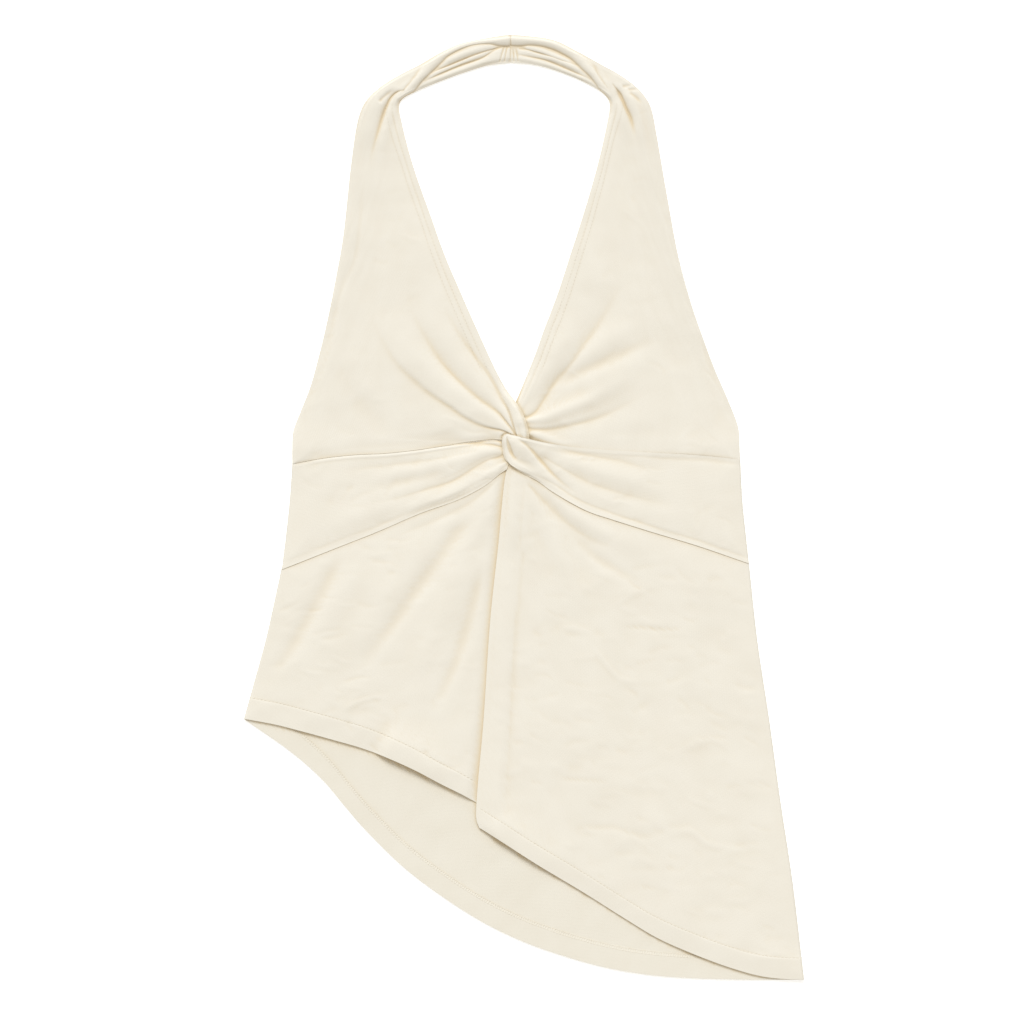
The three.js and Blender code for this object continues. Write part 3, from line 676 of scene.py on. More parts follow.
FOLDS_SKIRT_LEFT = [
    ("shadow fold under the band", -0.9, 4.5, 0, 0.7, 0, [
        (-19.2, 23.2), (-32, 12), (-44.8, 2.4), (-68.8, -9.6), (-95.2, -20.8), (-119.2, -30.4)]),
    ("ridge from the knot", 0.6, 6, 0, 0.5, 0, [
        (-19.2, 13.6), (-32, -10.4), (-49.6, -42.4), (-67.2, -74.4), (-84.8, -110.4)]),
    ("first long crease", -1.2, 6.5, 0, 0, 0, [
        (-41.6, -4), (-56.8, -24.8), (-80, -58.4), (-104, -92.8), (-123.2, -118.4), (-139.2, -142.4)]),
    ("second long crease", -1.2, 6, 0, 0, 0, [
        (-32, -42.4), (-37.6, -66.4), (-46.4, -98.4), (-56.8, -128.8), (-68.8, -154.4), (-81.6, -176.8)]),
    ("ridge between the long creases", 0.7, 9, 0, 0, 0, [
        (-40, -42.4), (-59.2, -78.4), (-79.2, -118.4), (-97.6, -158.4)]),
    ("ridge outside the first long crease", 0.6, 11, 0, 0, 0, [
        (-70.4, -18.4), (-97.6, -54.4), (-121.6, -90.4), (-148.8, -134.4)]),
    ("side crease", -1.1, 6.5, 0, 0, 0, [
        (-144.8, -33.6), (-156, -58.4), (-169.6, -84), (-183.2, -108), (-196.8, -128.8), (-209.6, -146.4)]),
    ("ridge inside the side crease", 0.5, 8, 0, 0, 0, [
        (-129.6, -39.2), (-143.2, -66.4), (-159.2, -98.4), (-179.2, -132)]),
    ("crumple over the hem", 0.35, 1.8, 0, 0, 0, [
        (-146.4, -164), (-132.8, -156), (-119.2, -152.8), (-105.6, -152)]),
    ("hem lifts off the back", 2.7, 20, 0, 0, 0.5, [
        (-120, -191.2), (-99.2, -200), (-76.8, -211.2), (-54.4, -226.4)]),
    ("hollow in the hem by the side", -0.3, 3, 0, 0, 0, [
        (-142.4, -170.4), (-138.4, -176.8), (-133.6, -184.8)]),
    ("ridge in the hem", 0.22, 3, 0, 0, 0, [
        (-115.2, -185.6), (-111.2, -192.8), (-107.2, -201.6)]),
    ("hollow beside the ridge in the hem", -0.25, 2.6, 0, 0, 0, [
        (-122.4, -187.2), (-120, -193.6), (-116.8, -200.8)]),
    ("hollow in the hem by the pleat", -0.35, 3, 0, 0, 0, [
        (-80, -192.8), (-75.2, -200.8), (-69.6, -211.2)]),
]
FOLDS_SKIRT_RIGHT = [
    ("ridge of the pleat at the knot", 0.8, 4, 0, 1, 0, [
        (-9.6, 29.6), (-10.4, 13.6), (-11.2, -10.4), (-12.8, -42.4)]),
    ("valley beside the pleat", -0.9, 6, 0, 0.6, 0.4, [
        (0, 13.6), (-3.2, -42.4), (-7.2, -106.4), (-10.4, -170.4), (-13.6, -234.4)]),
    ("first crease from the knot", -1.1, 4.2, 0, 0.8, 0, [
        (3.2, 18.4), (16.8, 4), (33.6, -12), (56, -27.2), (75.2, -33.6)]),
    ("second crease from the knot", -0.6, 4.5, 0, 0, 0, [
        (36.8, -23.2), (60.8, -42.4), (80.8, -54.4), (102.4, -63.2)]),
    ("ridge from the knot", 0.8, 6, 0, 0.6, 0, [
        (3.2, 13.6), (12.8, -6.4), (25.6, -32.8), (38.4, -62.4), (48, -94.4)]),
    ("second ridge from the knot", 0.8, 5, 0, 0.5, 0, [
        (16.8, 13.6), (33.6, -1.6), (54.4, -15.2), (78.4, -26.4), (104.8, -36)]),
    ("highest crumple", 0.26, 1.8, 0, 0, 0, [
        (70.4, -80), (83.2, -72), (96, -65.6), (118.4, -60)]),
    ("upper crumple", -0.3, 1.5, 0, 0, 0, [
        (75.2, -96), (92.8, -96), (105.6, -97.2), (123.2, -97.2), (129.6, -93.6)]),
    ("slanting crumple", 0.28, 2, 0, 0, 0, [
        (53.6, -109.6), (65.6, -125.6), (77.6, -137.6), (96, -139.2), (129.6, -133.6)]),
    ("side crumple", 0.28, 2, 0, 0, 0, [
        (107.2, -196.8), (132.8, -192), (149.6, -185.6), (158.4, -189.6), (170.4, -198.4)]),
    ("short crumple by the pleat", -0.26, 1.5, 0, 0, 0, [
        (25.6, -216.8), (52.8, -218.4), (74.4, -219.2)]),
    ("hollow over the hem", -0.3, 2.8, 0, 0, 0, [
        (44.8, -260.8), (70.4, -256), (96, -263.2), (121.6, -255.2)]),
    ("long crumple over the hem", 0.3, 2.4, 0, 0, 0, [
        (111.2, -263.2), (132.8, -259.2), (145.6, -268.8), (163.2, -272.8), (188.8, -273.6)]),
    ("hem lifts off the back", 2.6, 18, 0, 0.9, 0, [
        (-36, -258.4), (-22.4, -267.2), (4.8, -284), (40.8, -307.2)]),
]
print(len(FOLDS_SKIRT_LEFT) + len(FOLDS_SKIRT_RIGHT), "folds drawn on the skirt")

# %% [markdown]
# A pleat could be a step in one surface, but then nothing would be folded. Here the two parts and the
# piece that is turned under are laid in turn, as grids with the same rows, so that they can be joined
# into one sheet. The pleat is 17 mm deep, and is pressed flatter near the knot.

# %% Rows and pleat of the front skirt
PLEAT = 17.0
PLEAT_SLANT = 8.0
PLEAT_TOP = 38.0
FLATTEST = 0.38
FLAT_RISE = 0.16
TURN = (CLOTH + GAP) / 2
SKIRT_ROWS = hem_rows(150)
OVER_PLEAT = 0.115
FOLD_PARTS = 24
fold_line = PLEAT_FOLD(even(FOLD_PARTS))
PLEAT_INNER = edge(fold_line + np.stack([np.full(FOLD_PARTS + 1, PLEAT), PLEAT_SLANT * even(FOLD_PARTS)], 1))
left_plan = four_sided(SKIRT_TOP_LEFT, HEM_LEFT, SIDE_SKIRT_LEFT, PLEAT_INNER)
right_plan = four_sided(SKIRT_TOP_RIGHT, HEM_RIGHT, PLEAT_FOLD, SIDE_SKIRT_RIGHT)


def skirt_grid(plan, across):
    u, v = np.meshgrid(across, even(len(SKIRT_ROWS) - 1))
    x, y = np.moveaxis(hemmed(plan, SKIRT_ROWS)(u, v), -1, 0)
    return u, v, x, y


across_left = np.append(even(100) * 0.92, [0.95, 0.98, 1.0])
across_right = np.concatenate([even(14) * OVER_PLEAT, OVER_PLEAT + (1 - OVER_PLEAT) * even(110)[1:]])
left_grid = skirt_grid(left_plan, across_left)
right_grid = skirt_grid(right_plan, across_right)
fold_x, fold_y = right_grid[2][:, :1], right_grid[3][:, :1]
flat = FLATTEST + FLAT_RISE * smooth_step((PLEAT_TOP - fold_y) / 60)
half, turn_size = CLOTH * flat / 2, TURN * flat
level = lambda layer: CLOTH + GAP + 2 * turn_size * layer
print("pleat wall", round(float(2 * half.min()), 2), "to", round(float(2 * half.max()), 2), "mm")

# %% [markdown]
# The part left of the pleat goes down first. Its folds fade a few millimetres short of the fold line,
# because what runs on beneath the pleat is pressed flat by the cloth on top of it.

# %% Skirt left of the pleat


def lay_left_part(u, v, x, y):
    short_of_fold = np.interp(-y, -fold_line[:, 1], fold_line[:, 0]) - x
    free = smooth_step((short_of_fold - 2) / 8)
    z = drape(x, y, widened(ground, 2))
    small = crumples(left_plan, 61, 100, 4, 16, 0.15)
    lift = drawn_folds(FOLDS_SKIRT_LEFT + small, x, y) + unevenness(x, y, 11) + rest(x, y)
    z += np.maximum(0, lift) * free
    groove = np.maximum(-GROOVE * CLOTH, np.minimum(0, lift)) * free
    seam = thinner(x, y, SKIRT_TOP_LEFT, 0.14, SEAM_RUN)
    wall = CLOTH * seam * (1 - (1 - flat) * smooth_step(1 - short_of_fold / 7))
    hem = hem_step(SKIRT_ROWS)(x, y, u, v) * smooth_step((short_of_fold - 1) / 3)
    top = z + wall_up(x, y, z, wall) + groove * thinner(x, y, SKIRT_TOP_LEFT, 0, 4) + hem
    stamp(x, y, top)
    return x, y, z, top


left_x, left_y, left_z, left_top = lay_left_part(*left_grid)
surfaces["skirt_left"] = (left_x, left_y, left_top)

# %% [markdown]
# The part that is turned under lies flat between the two, from the inner fold back to the fold line. Its
# seen side faces down, so its upper and lower faces change places in the finished sheet.

# %% Skirt turned under
UNDER_STEPS = np.array([0, 0.2, 0.4, 0.6, 0.8, 1.0])
inner_x, inner_y = left_x[:, -1:], left_y[:, -1:]
under_x = inner_x * (1 - UNDER_STEPS) + fold_x * UNDER_STEPS
under_y = inner_y * (1 - UNDER_STEPS) + fold_y * UNDER_STEPS
under_z = np.broadcast_to(level(1), under_x.shape)
stamp(under_x, under_y, under_z + 2 * half)
print("turned under:", round(float((inner_x - fold_x).max()), 1), "mm at the widest")

# %% [markdown]
# The part right of the pleat lies on top. It starts at the fold with the height of the turn, and is
# lifted a little towards the knot, which pulls the cloth up.

# %% Skirt right of the pleat


def lay_right_part(u, v, x, y):
    z = drape(x, y, widened(ground, 2))
    small = crumples(right_plan, 62, 240, -4, 15, 0.18)
    lift = drawn_folds(FOLDS_SKIRT_RIGHT + small, x, y) + unevenness(x, y, 17) + rest(x, y)
    lift += 0.7 * np.exp(-((x - KNOT[0]) ** 2 + (y - KNOT[1]) ** 2) / 70**2)
    z += np.maximum(0, lift) * smooth_step(u * 14)
    z[:, :1] = level(2)
    seam = thinner(x, y, SKIRT_TOP_RIGHT, 0.14, SEAM_RUN)
    wall = CLOTH * seam * (flat + (1 - flat) * smooth_step((x - fold_x) / 7))
    top = z + wall_up(x, y, z, wall) + hem_step(SKIRT_ROWS)(x, y, u, v) * smooth_step(u * 40)
    top[:, :1] = level(2) + 2 * half
    stamp(x, y, top)
    return x, y, z, top


right_x, right_y, right_z, right_top = lay_right_part(*right_grid)
surfaces["skirt_right"] = (right_x, right_y, right_top)

# %% [markdown]
# The rows of the three parts are joined through two half-round turns into one sheet, which is how the
# real pleat is made. At the first turn the cloth goes round outwards, at the second one inwards, so the
# upper face takes the small radius first and the large one next.

# %% Front skirt
TURN_ANGLES = np.linspace(0, np.pi, 9)[1:-1]
out_of_fold = np.hstack([inner_x - fold_x, inner_y - fold_y])
out_of_fold /= np.linalg.norm(out_of_fold, axis=1)[:, None]


def half_round(at_x, at_y, height, side, radius):
    x = at_x + side * out_of_fold[:, :1] * radius * np.sin(TURN_ANGLES)
    y = at_y + side * out_of_fold[:, 1:] * radius * np.sin(TURN_ANGLES)
    z = np.broadcast_to(height - radius * np.cos(TURN_ANGLES), x.shape)
    return np.stack([x, y, z], -1)


stacked = lambda *grids: np.stack(grids, -1)
first_turn, second_turn = level(0) + half + turn_size, level(1) + half + turn_size
upper = np.concatenate([
    stacked(left_x, left_y, left_top),
    half_round(inner_x, inner_y, first_turn, 1, turn_size - half),
    stacked(under_x, under_y, under_z),
    half_round(fold_x, fold_y, second_turn, -1, turn_size + half),
    stacked(right_x, right_y, right_top),
], 1)
lower = np.concatenate([
    stacked(left_x, left_y, left_z),
    half_round(inner_x, inner_y, first_turn, 1, turn_size + half),
    stacked(under_x, under_y, under_z + 2 * half),
    half_round(fold_x, fold_y, second_turn, -1, turn_size - half),
    stacked(right_x, right_y, right_z),
], 1)
skirt = shell("skirt_cloth", upper, lower, grid_uv(upper[..., 0], upper[..., 1]))
print("skirt faces", len(skirt.data.polygons))

# %% [markdown]
# The upper edge of the left band is the lower edge of the bust panel above it: they are sewn together
# there. So the plan of that panel comes first, and the seam is read off it. The panel is bent like a
# horseshoe's arm and has no four clear sides, which is why it is given by sections, from the knot to the
# centre back.

# %% Plan of the left bust panel
BUST_LEFT = strap([
    (7.6, 46.4, -11.2, 46.4, 0),
    (4.6, 53.6, -17.6, 52.8, 0),
    (3.3, 61.6, -28.8, 53.4, 0),
    (1, 69.6, -44.8, 51.6, 0),
    (-2.4, 77.6, -64, 48.8, 0),
    (-7.2, 84.8, -85.6, 45.6, 0),
    (-14.4, 94.4, -110.4, 42.9, 0),
    (-22.4, 108.8, -136, 41.6, 0),
    (-29.6, 124, -161.6, 38.8, 0),
    (-36.8, 140, -185.2, 34.4, 1),
    (-44, 156, -185.2, 46.4, 0),
    (-52, 174.4, -184.4, 60.8, 0),
    (-60, 192.8, -178.4, 76.8, 0),
    (-67.2, 211.2, -170.4, 97.6, 0),
    (-74.4, 232, -163.2, 124, 0),
    (-80.8, 249.6, -156.8, 151.2, 0),
    (-86.4, 265.6, -150.4, 183.2, 0),
    (-91.6, 282.4, -144.4, 217.6, 0),
    (-95.2, 296, -139.2, 265.6, 0),
    (-98, 308, -134.8, 299.2, 0),
    (-99.8, 316.8, -131.6, 313.6, 0),
    (-99.4, 323.2, -127.6, 322.8, 0),
    (-95.6, 327.6, -121.6, 330, 0),
    (-88, 331.5, -112, 337.8, 0),
    (-76, 336.8, -98.4, 346.1, 0),
    (-60.8, 342.8, -82.4, 354.3, 0),
    (-44.8, 348.4, -65.6, 364, 0),
    (-28.8, 353.1, -46.4, 371.8, 0),
    (-11.3, 355.4, -11.3, 378, 0),
])
LEFT_STEPS = 28
SEAM_STEPS = 8
SEAM_LEFT = lambda t: BUST_LEFT(np.ones_like(t), t * (SEAM_STEPS / LEFT_STEPS))

# %% [markdown]
# The under-bust band is two strips, gathered where they meet the knot. The left one is laid before the
# bust panels, because its gathers run in beneath the curl at the centre. Its edge meets the panel's in a
# slit a fraction of a millimetre wide, with no overlap: pressed open, a seam in jersey is a fine line.

# %% Left band
SEAM_SLIT = 0.15
along_seam = np.linspace(9 / LEFT_STEPS, 1 / LEFT_STEPS, 70)
seam_points = BUST_LEFT(np.ones_like(along_seam), along_seam) - (0, SEAM_SLIT)
BAND_TOP_LEFT = edge(seam_points)
WAIST_LEFT = edge([
    (-193.6, -50), (-148, -32), (-115.2, -19), (-83.2, -5.2), (-51.2, 6.4), (-30.4, 17.6), (-18.6, 27),
    (-13.6, 30.2),
])
SIDE_BAND_LEFT = edge([
    (-185.2, 34.1), (-187.2, 6), (-190.6, -26), (-193.6, -50),
])
BAND_END_LEFT = edge([
    (-17.6, 52.5), (-15.4, 49), (-13.4, 45), (-11.5, 38.8), (-12.3, 34), (-13.6, 30.2),
])
FOLDS_BAND_LEFT = [
    ("short fold under the seam", -1.3, 2.2, 0, 1, 0, [
        (-16.8, 47.6), (-26.4, 49.9), (-38.4, 50.4), (-49.6, 48.8)]),
    ("soft hollow under the seam", -1, 5, 0, 0.4, 0, [
        (-38.4, 44.8), (-68.8, 38.4), (-99.2, 34.4), (-125.6, 31.2), (-155.2, 29.6)]),
    ("seam ridge", 0.45, 0.9, 0, 0.2, 1, [
        (-28.8, 51.5), (-44.8, 49.7), (-64, 46.9), (-85.6, 43.7), (-110.4, 41), (-136, 39.7),
        (-161.6, 36.9), (-184, 32.8)]),
    ("upper ridge", 0.6, 4.4, 0, 1, 0, [
        (-16.8, 44), (-31.2, 44), (-49.6, 40), (-73.6, 32), (-103.2, 24)]),
    ("middle crease", -1.7, 3.2, 0, 1, 0, [
        (-15.2, 41.6), (-20.8, 39.7), (-28, 37.9), (-36.8, 33.2), (-57, 20.8), (-79.2, 13.6),
        (-107.2, 5.6), (-139.2, 0)]),
    ("ridge over the middle crease", 0.6, 4.5, 1, 0.8, 0, [
        (-15.2, 43.2), (-21.6, 41.1), (-28.8, 39.2), (-37.6, 34.8), (-58.4, 22.8), (-80.8, 15.6),
        (-107.2, 8)]),
    ("lower ridge", 1, 4.4, 0, 1, 0, [
        (-14.4, 35.2), (-24, 28.8), (-36.8, 20.8), (-55.2, 11.2), (-79.2, 1.6), (-107.2, -8)]),
    ("soft crease on the side", -0.9, 5.5, 0, 0, 0, [
        (-57.6, 29.6), (-83.2, 23.2), (-107.2, 18.4), (-135.2, 13.6)]),
    ("soft ridge on the side", 0.5, 8, 0, 0, 0, [
        (-99.2, 5.6), (-131.2, -6.4), (-163.2, -14.4)]),
]
before_band = ground.copy()
band_left = lay("band_left_cloth", four_sided(BAND_TOP_LEFT, WAIST_LEFT, SIDE_BAND_LEFT, BAND_END_LEFT),
                1 - closer(156)[::-1], edged(70), FOLDS_BAND_LEFT, seed=23,
                loft=[(0.4, 38, KNOT), (-1.2, 12, (-11, 36)), (0.8, 12, (-27, 54))],
                share=lambda x, y, z: pressed(x, y, z, 0.2) * thinner(x, y, SEAM_LEFT, 0.84, 4),
                quiet=lambda x, y: sewn_flat(x, y, WAIST_LEFT), joined=SEAM_LEFT)

# %% [markdown]
# The neck edge is turned in and held by two rows of stitches, 5.6 and 10.4 mm in. It is a small step and
# two shallow dips that follow the edge, as at the hem, and it fades out where the knot and the shoulder
# hide it.

# %% Neck hem
NECK_ROWS = (5.6, 10.4)
NECK_STEP = 0.14
NECK_SHOWS = (70.0, 322.0)


def neck_hem(x, y, u, v):
    inward = np.hypot(x - x[:, :1], y - y[:, :1])
    shows = smooth_step((y - NECK_SHOWS[0]) / 40) * smooth_step((NECK_SHOWS[1] - y) / 12)
    dips = sum(np.exp(-(((inward - row) / 0.9) ** 2)) for row in NECK_ROWS)
    return shows * (NECK_STEP * smooth_step((NECK_ROWS[1] + 1.4 - inward) / 1.4) - STITCH_DIP * dips)


# %% [markdown]
# Each bust panel is one strip of jersey from the knot, over the shoulder, to the seam at the centre back.
# Its gathers fan out from the knot and fade within a hand's width. At the shoulder the strap rolls over
# itself, so a strand crosses it and becomes the upper edge of the neck band. The strand could be a piece
# of its own, but it is the same cloth, so it is a high ridge between two sharp creases. The right panel
# is laid first: its gathers pass beneath the other's.

# %% Right bust panel and its half of the neck band
BUST_RIGHT = strap([
    (-13.6, 71.2, -6.4, 53, 0),
    (-9.2, 78.4, 3, 51, 0),
    (-5.2, 87.2, 18.4, 47.6, 0),
    (-1.2, 96.8, 38.4, 44.8, 0),
    (4.4, 110.4, 62.4, 42.4, 0),
    (10.4, 125.6, 89.6, 40.8, 0),
    (16, 141.6, 118.4, 40, 0),
    (21.6, 156, 146.4, 38.4, 0),
    (27.2, 171.2, 172.8, 34.8, 1),
    (32, 185.6, 172.2, 48, 0),
    (37.6, 203.2, 171.2, 64, 0),
    (43.6, 221.6, 163.2, 85.6, 0),
    (49.6, 240.8, 152.8, 109.6, 0),
    (54.8, 258.4, 143.2, 135.2, 0),
    (59.6, 276, 133.6, 163.2, 0),
    (63.6, 292.8, 123.2, 201.6, 0),
    (66.8, 308, 114.4, 248.8, 0),
    (68.4, 317.6, 106.4, 295.2, 0),
    (68, 324.8, 102, 317.6, 0),
    (63.6, 330.7, 96.8, 328, 0),
    (56.4, 335.4, 88.8, 336.8, 0),
    (45.6, 341.1, 76, 346, 0),
    (32, 346.7, 60.8, 354.4, 0),
    (18.4, 351.2, 42.4, 364.5, 0),
    (4.8, 354.2, 21.6, 374, 0),
    (-11.1, 355.4, -11.1, 378, 0),
])
FOLDS_BUST_RIGHT = [
    ("hollow by the armhole", -0.5, 6, 0, 0, 0, [
        (139.2, 145.6), (149.6, 111.2), (157.6, 79.2), (163.2, 53.6)]),
    ("first crease", -1.5, 3.6, 0, 1, 0, [
        (-2.8, 70.7), (3.2, 72), (9.2, 76), (15.2, 84.8), (24.6, 99.2), (34.9, 111.2), (48, 129.6),
        (61.6, 149.6), (72, 168), (78.4, 185.6)]),
    ("ridge beside the first crease", 1.1, 6.5, 0, 0.6, 0, [
        (-4, 78.4), (4, 90.4), (13.6, 104.8), (25.6, 122.4), (38.4, 141.6), (48.8, 159.2), (57.6, 177.6)]),
    ("knuckle ridge", 1.5, 4.2, 0, 1, 0, [
        (-1.6, 68.8), (7.2, 69.6), (17.6, 71.6), (28.8, 76.4), (44.8, 82.4), (60.8, 90.4),
        (80.8, 101.6), (100.8, 114.4)]),
    ("deep crease", -1, 4.4, 0, 1, 0, [
        (3.2, 62.7), (10.4, 61.6), (20.8, 61.6), (33.6, 64), (51.2, 68.4), (68.8, 75.2), (89.6, 86.4),
        (108.8, 97.6)]),
    ("lap over the deep crease", 0.5, 6, 1, 0.8, 0, [
        (2.4, 64.5), (10.4, 63.5), (20.8, 63.8), (33.6, 66.4), (51.2, 70.8), (68.8, 77.6), (89.6, 88.8)]),
    ("small ridge under the deep crease", 1.1, 3, 0, 1, 0, [
        (2.4, 59.2), (8.8, 58), (16.8, 55.2), (28.8, 51.2), (44.8, 48)]),
    ("dark pocket", -1, 1.6, 0, 1, 0, [
        (2.4, 55.6), (4.8, 54.1), (8.8, 52.5)]),
    ("second crease", -0.9, 5, 0, 0, 0, [
        (25.6, 95.2), (40.8, 105.6), (64, 116), (89.6, 128), (115.2, 137.6)]),
    ("ridge above the second crease", 0.8, 8, 0, 0, 0, [
        (25.6, 104.8), (40.8, 117.6), (60.8, 130.4), (84.8, 143.2), (108.8, 153.6)]),
    ("ridge under the second crease", 0.6, 8, 0, 0, 0, [
        (40.8, 92), (64, 103.2), (89.6, 114.4), (115.2, 123.2)]),
    ("soft ridge above the band", 0.5, 12, 0, 0, 0, [
        (25.6, 56.8), (60.8, 61.6), (96.8, 69.6), (132.8, 82.4)]),
    ("armhole hem", -0.35, 2.8, 0, 0, 0, [
        (112, 277.6), (121.6, 229.6), (132.8, 181.6), (147.2, 141.6), (158.4, 101.6), (167.2, 61.6)]),
    ("shoulder crease", -2.3, 2, 0, 0.5, 0, [
        (71.2, 337.6), (74.4, 333.6), (77.1, 329.4), (81.2, 319.5), (85.3, 310.6), (87.2, 303.2),
        (88.8, 293.6)]),
    ("ridge inside the shoulder crease", 1, 3.4, 0, 0.3, 0, [
        (70.4, 332.8), (73.6, 324.8), (77.6, 314.4), (80.8, 301.6), (82.4, 285.6)]),
    ("ridge outside the shoulder crease", 0.8, 4, 0, 0, 0, [
        (77.6, 335.2), (84, 326.4), (89.6, 313.6), (93.6, 297.6), (96.8, 277.6)]),
    ("short wrinkle", -0.6, 1.6, 0, 0, 0, [
        (77.6, 335.6), (83.2, 336.8), (89.6, 338.8)]),
    ("shorter wrinkle", -0.6, 1.5, 0, 0, 0, [
        (81.6, 333.2), (88, 334), (93.6, 336)]),
    ("slanting wrinkle", -0.7, 1.8, 0, 0, 0, [
        (83.2, 332), (89.6, 327.2), (96, 320.8)]),
    ("strand that crosses over", 1.7, 4.3, 0, 0.8, 0.9, [
        (66.8, 329.6), (62.4, 336.8), (54.4, 347.2), (46.1, 356), (37.9, 363.5), (29.6, 368),
        (17.6, 372), (5.3, 373.9), (-11, 374.1)]),
    ("outer side of the strand", -0.9, 1.4, 0, 0.7, 0, [
        (66.8, 334.4), (63.2, 339.6), (59.2, 345.6), (56.4, 351.6), (54.4, 356)]),
    ("inner side of the strand", -1.2, 1.7, 0, 0.8, 0.9, [
        (64.8, 327.6), (58.4, 336.8), (52.6, 344), (44.5, 351.5), (37.9, 357.6), (31.2, 361.6),
        (23.2, 365.6), (13.4, 368.3), (4, 369.1), (-4, 368.4), (-11, 368.2)]),
    ("second ridge of the neck band", 1, 2.3, 0, 0.3, 0.5, [
        (42.4, 351.6), (32.8, 356.6), (23.2, 360.3), (12.8, 364.4), (2.4, 366.6)]),
    ("first line of the neck band", -1.3, 1.3, 0, 0.3, 0.9, [
        (42.4, 353), (29.6, 357.1), (21.6, 360), (13.4, 362.6), (4.8, 365.1), (-4, 367.2)]),
    ("third ridge of the neck band", 0.9, 1.9, 0, 0.3, 0.3, [
        (48.8, 346.8), (36.8, 352.4), (25.6, 357.6), (14.4, 360.3), (3.2, 363.2)]),
    ("second line of the neck band", -0.9, 1.2, 0, 0.3, 0.5, [
        (53.6, 341.6), (42, 346.7), (29.6, 352.1), (17.6, 357.1), (5.3, 359.7), (-4.8, 361.6)]),
    ("lower ridge of the neck band", 1.1, 3.2, 0, 0.2, 0.5, [
        (57.6, 337.6), (44.8, 343.2), (30.4, 348.4), (16.8, 352.8), (3.2, 356.4), (-11, 360)]),
    ("gather 1 at the centre back", -1.1, 0.8, 0, 1, 0.8, [
        (-8.8, 367.6), (-8.3, 362.4), (-8, 355.6)]),
    ("gather 2 at the centre back", -1.1, 0.8, 0, 1, 0.8, [
        (-6.7, 367.6), (-5.6, 362.4), (-4.6, 355.6)]),
]
RIGHT_STEPS = 25
CENTRE_BACK_X = -11.3
CENTRE_BACK = lambda t: np.stack([np.full_like(t, CENTRE_BACK_X), 350 + 28 * t], -1)
SEAM_RIGHT = lambda t: BUST_RIGHT(np.ones_like(t), t * (SEAM_STEPS / RIGHT_STEPS))


def right_share(x, y, z):
    sewn = thinner(x, y, SEAM_RIGHT, 0.14, SEAM_RUN) * thinner(x, y, CENTRE_BACK, 0.6, 2)
    return pressed(x, y, z, 0.1) * sewn


bust_right = lay("bust_right_cloth", BUST_RIGHT, edged(92), fine_end(390, RIGHT_STEPS), FOLDS_BUST_RIGHT,
                 loft=[(0.9, 45, KNOT), (1.0, 22, (80, 322))], seed=31, extra=neck_hem,
                 share=right_share, rows=(0,))

# %% [markdown]
# The left bust panel is laid over the right one, so its strip crosses the knot in front. Beside its two
# seams it must not climb on the piece that it is sewn to: there it rests on what was laid before that
# piece, and the two meet edge to edge.

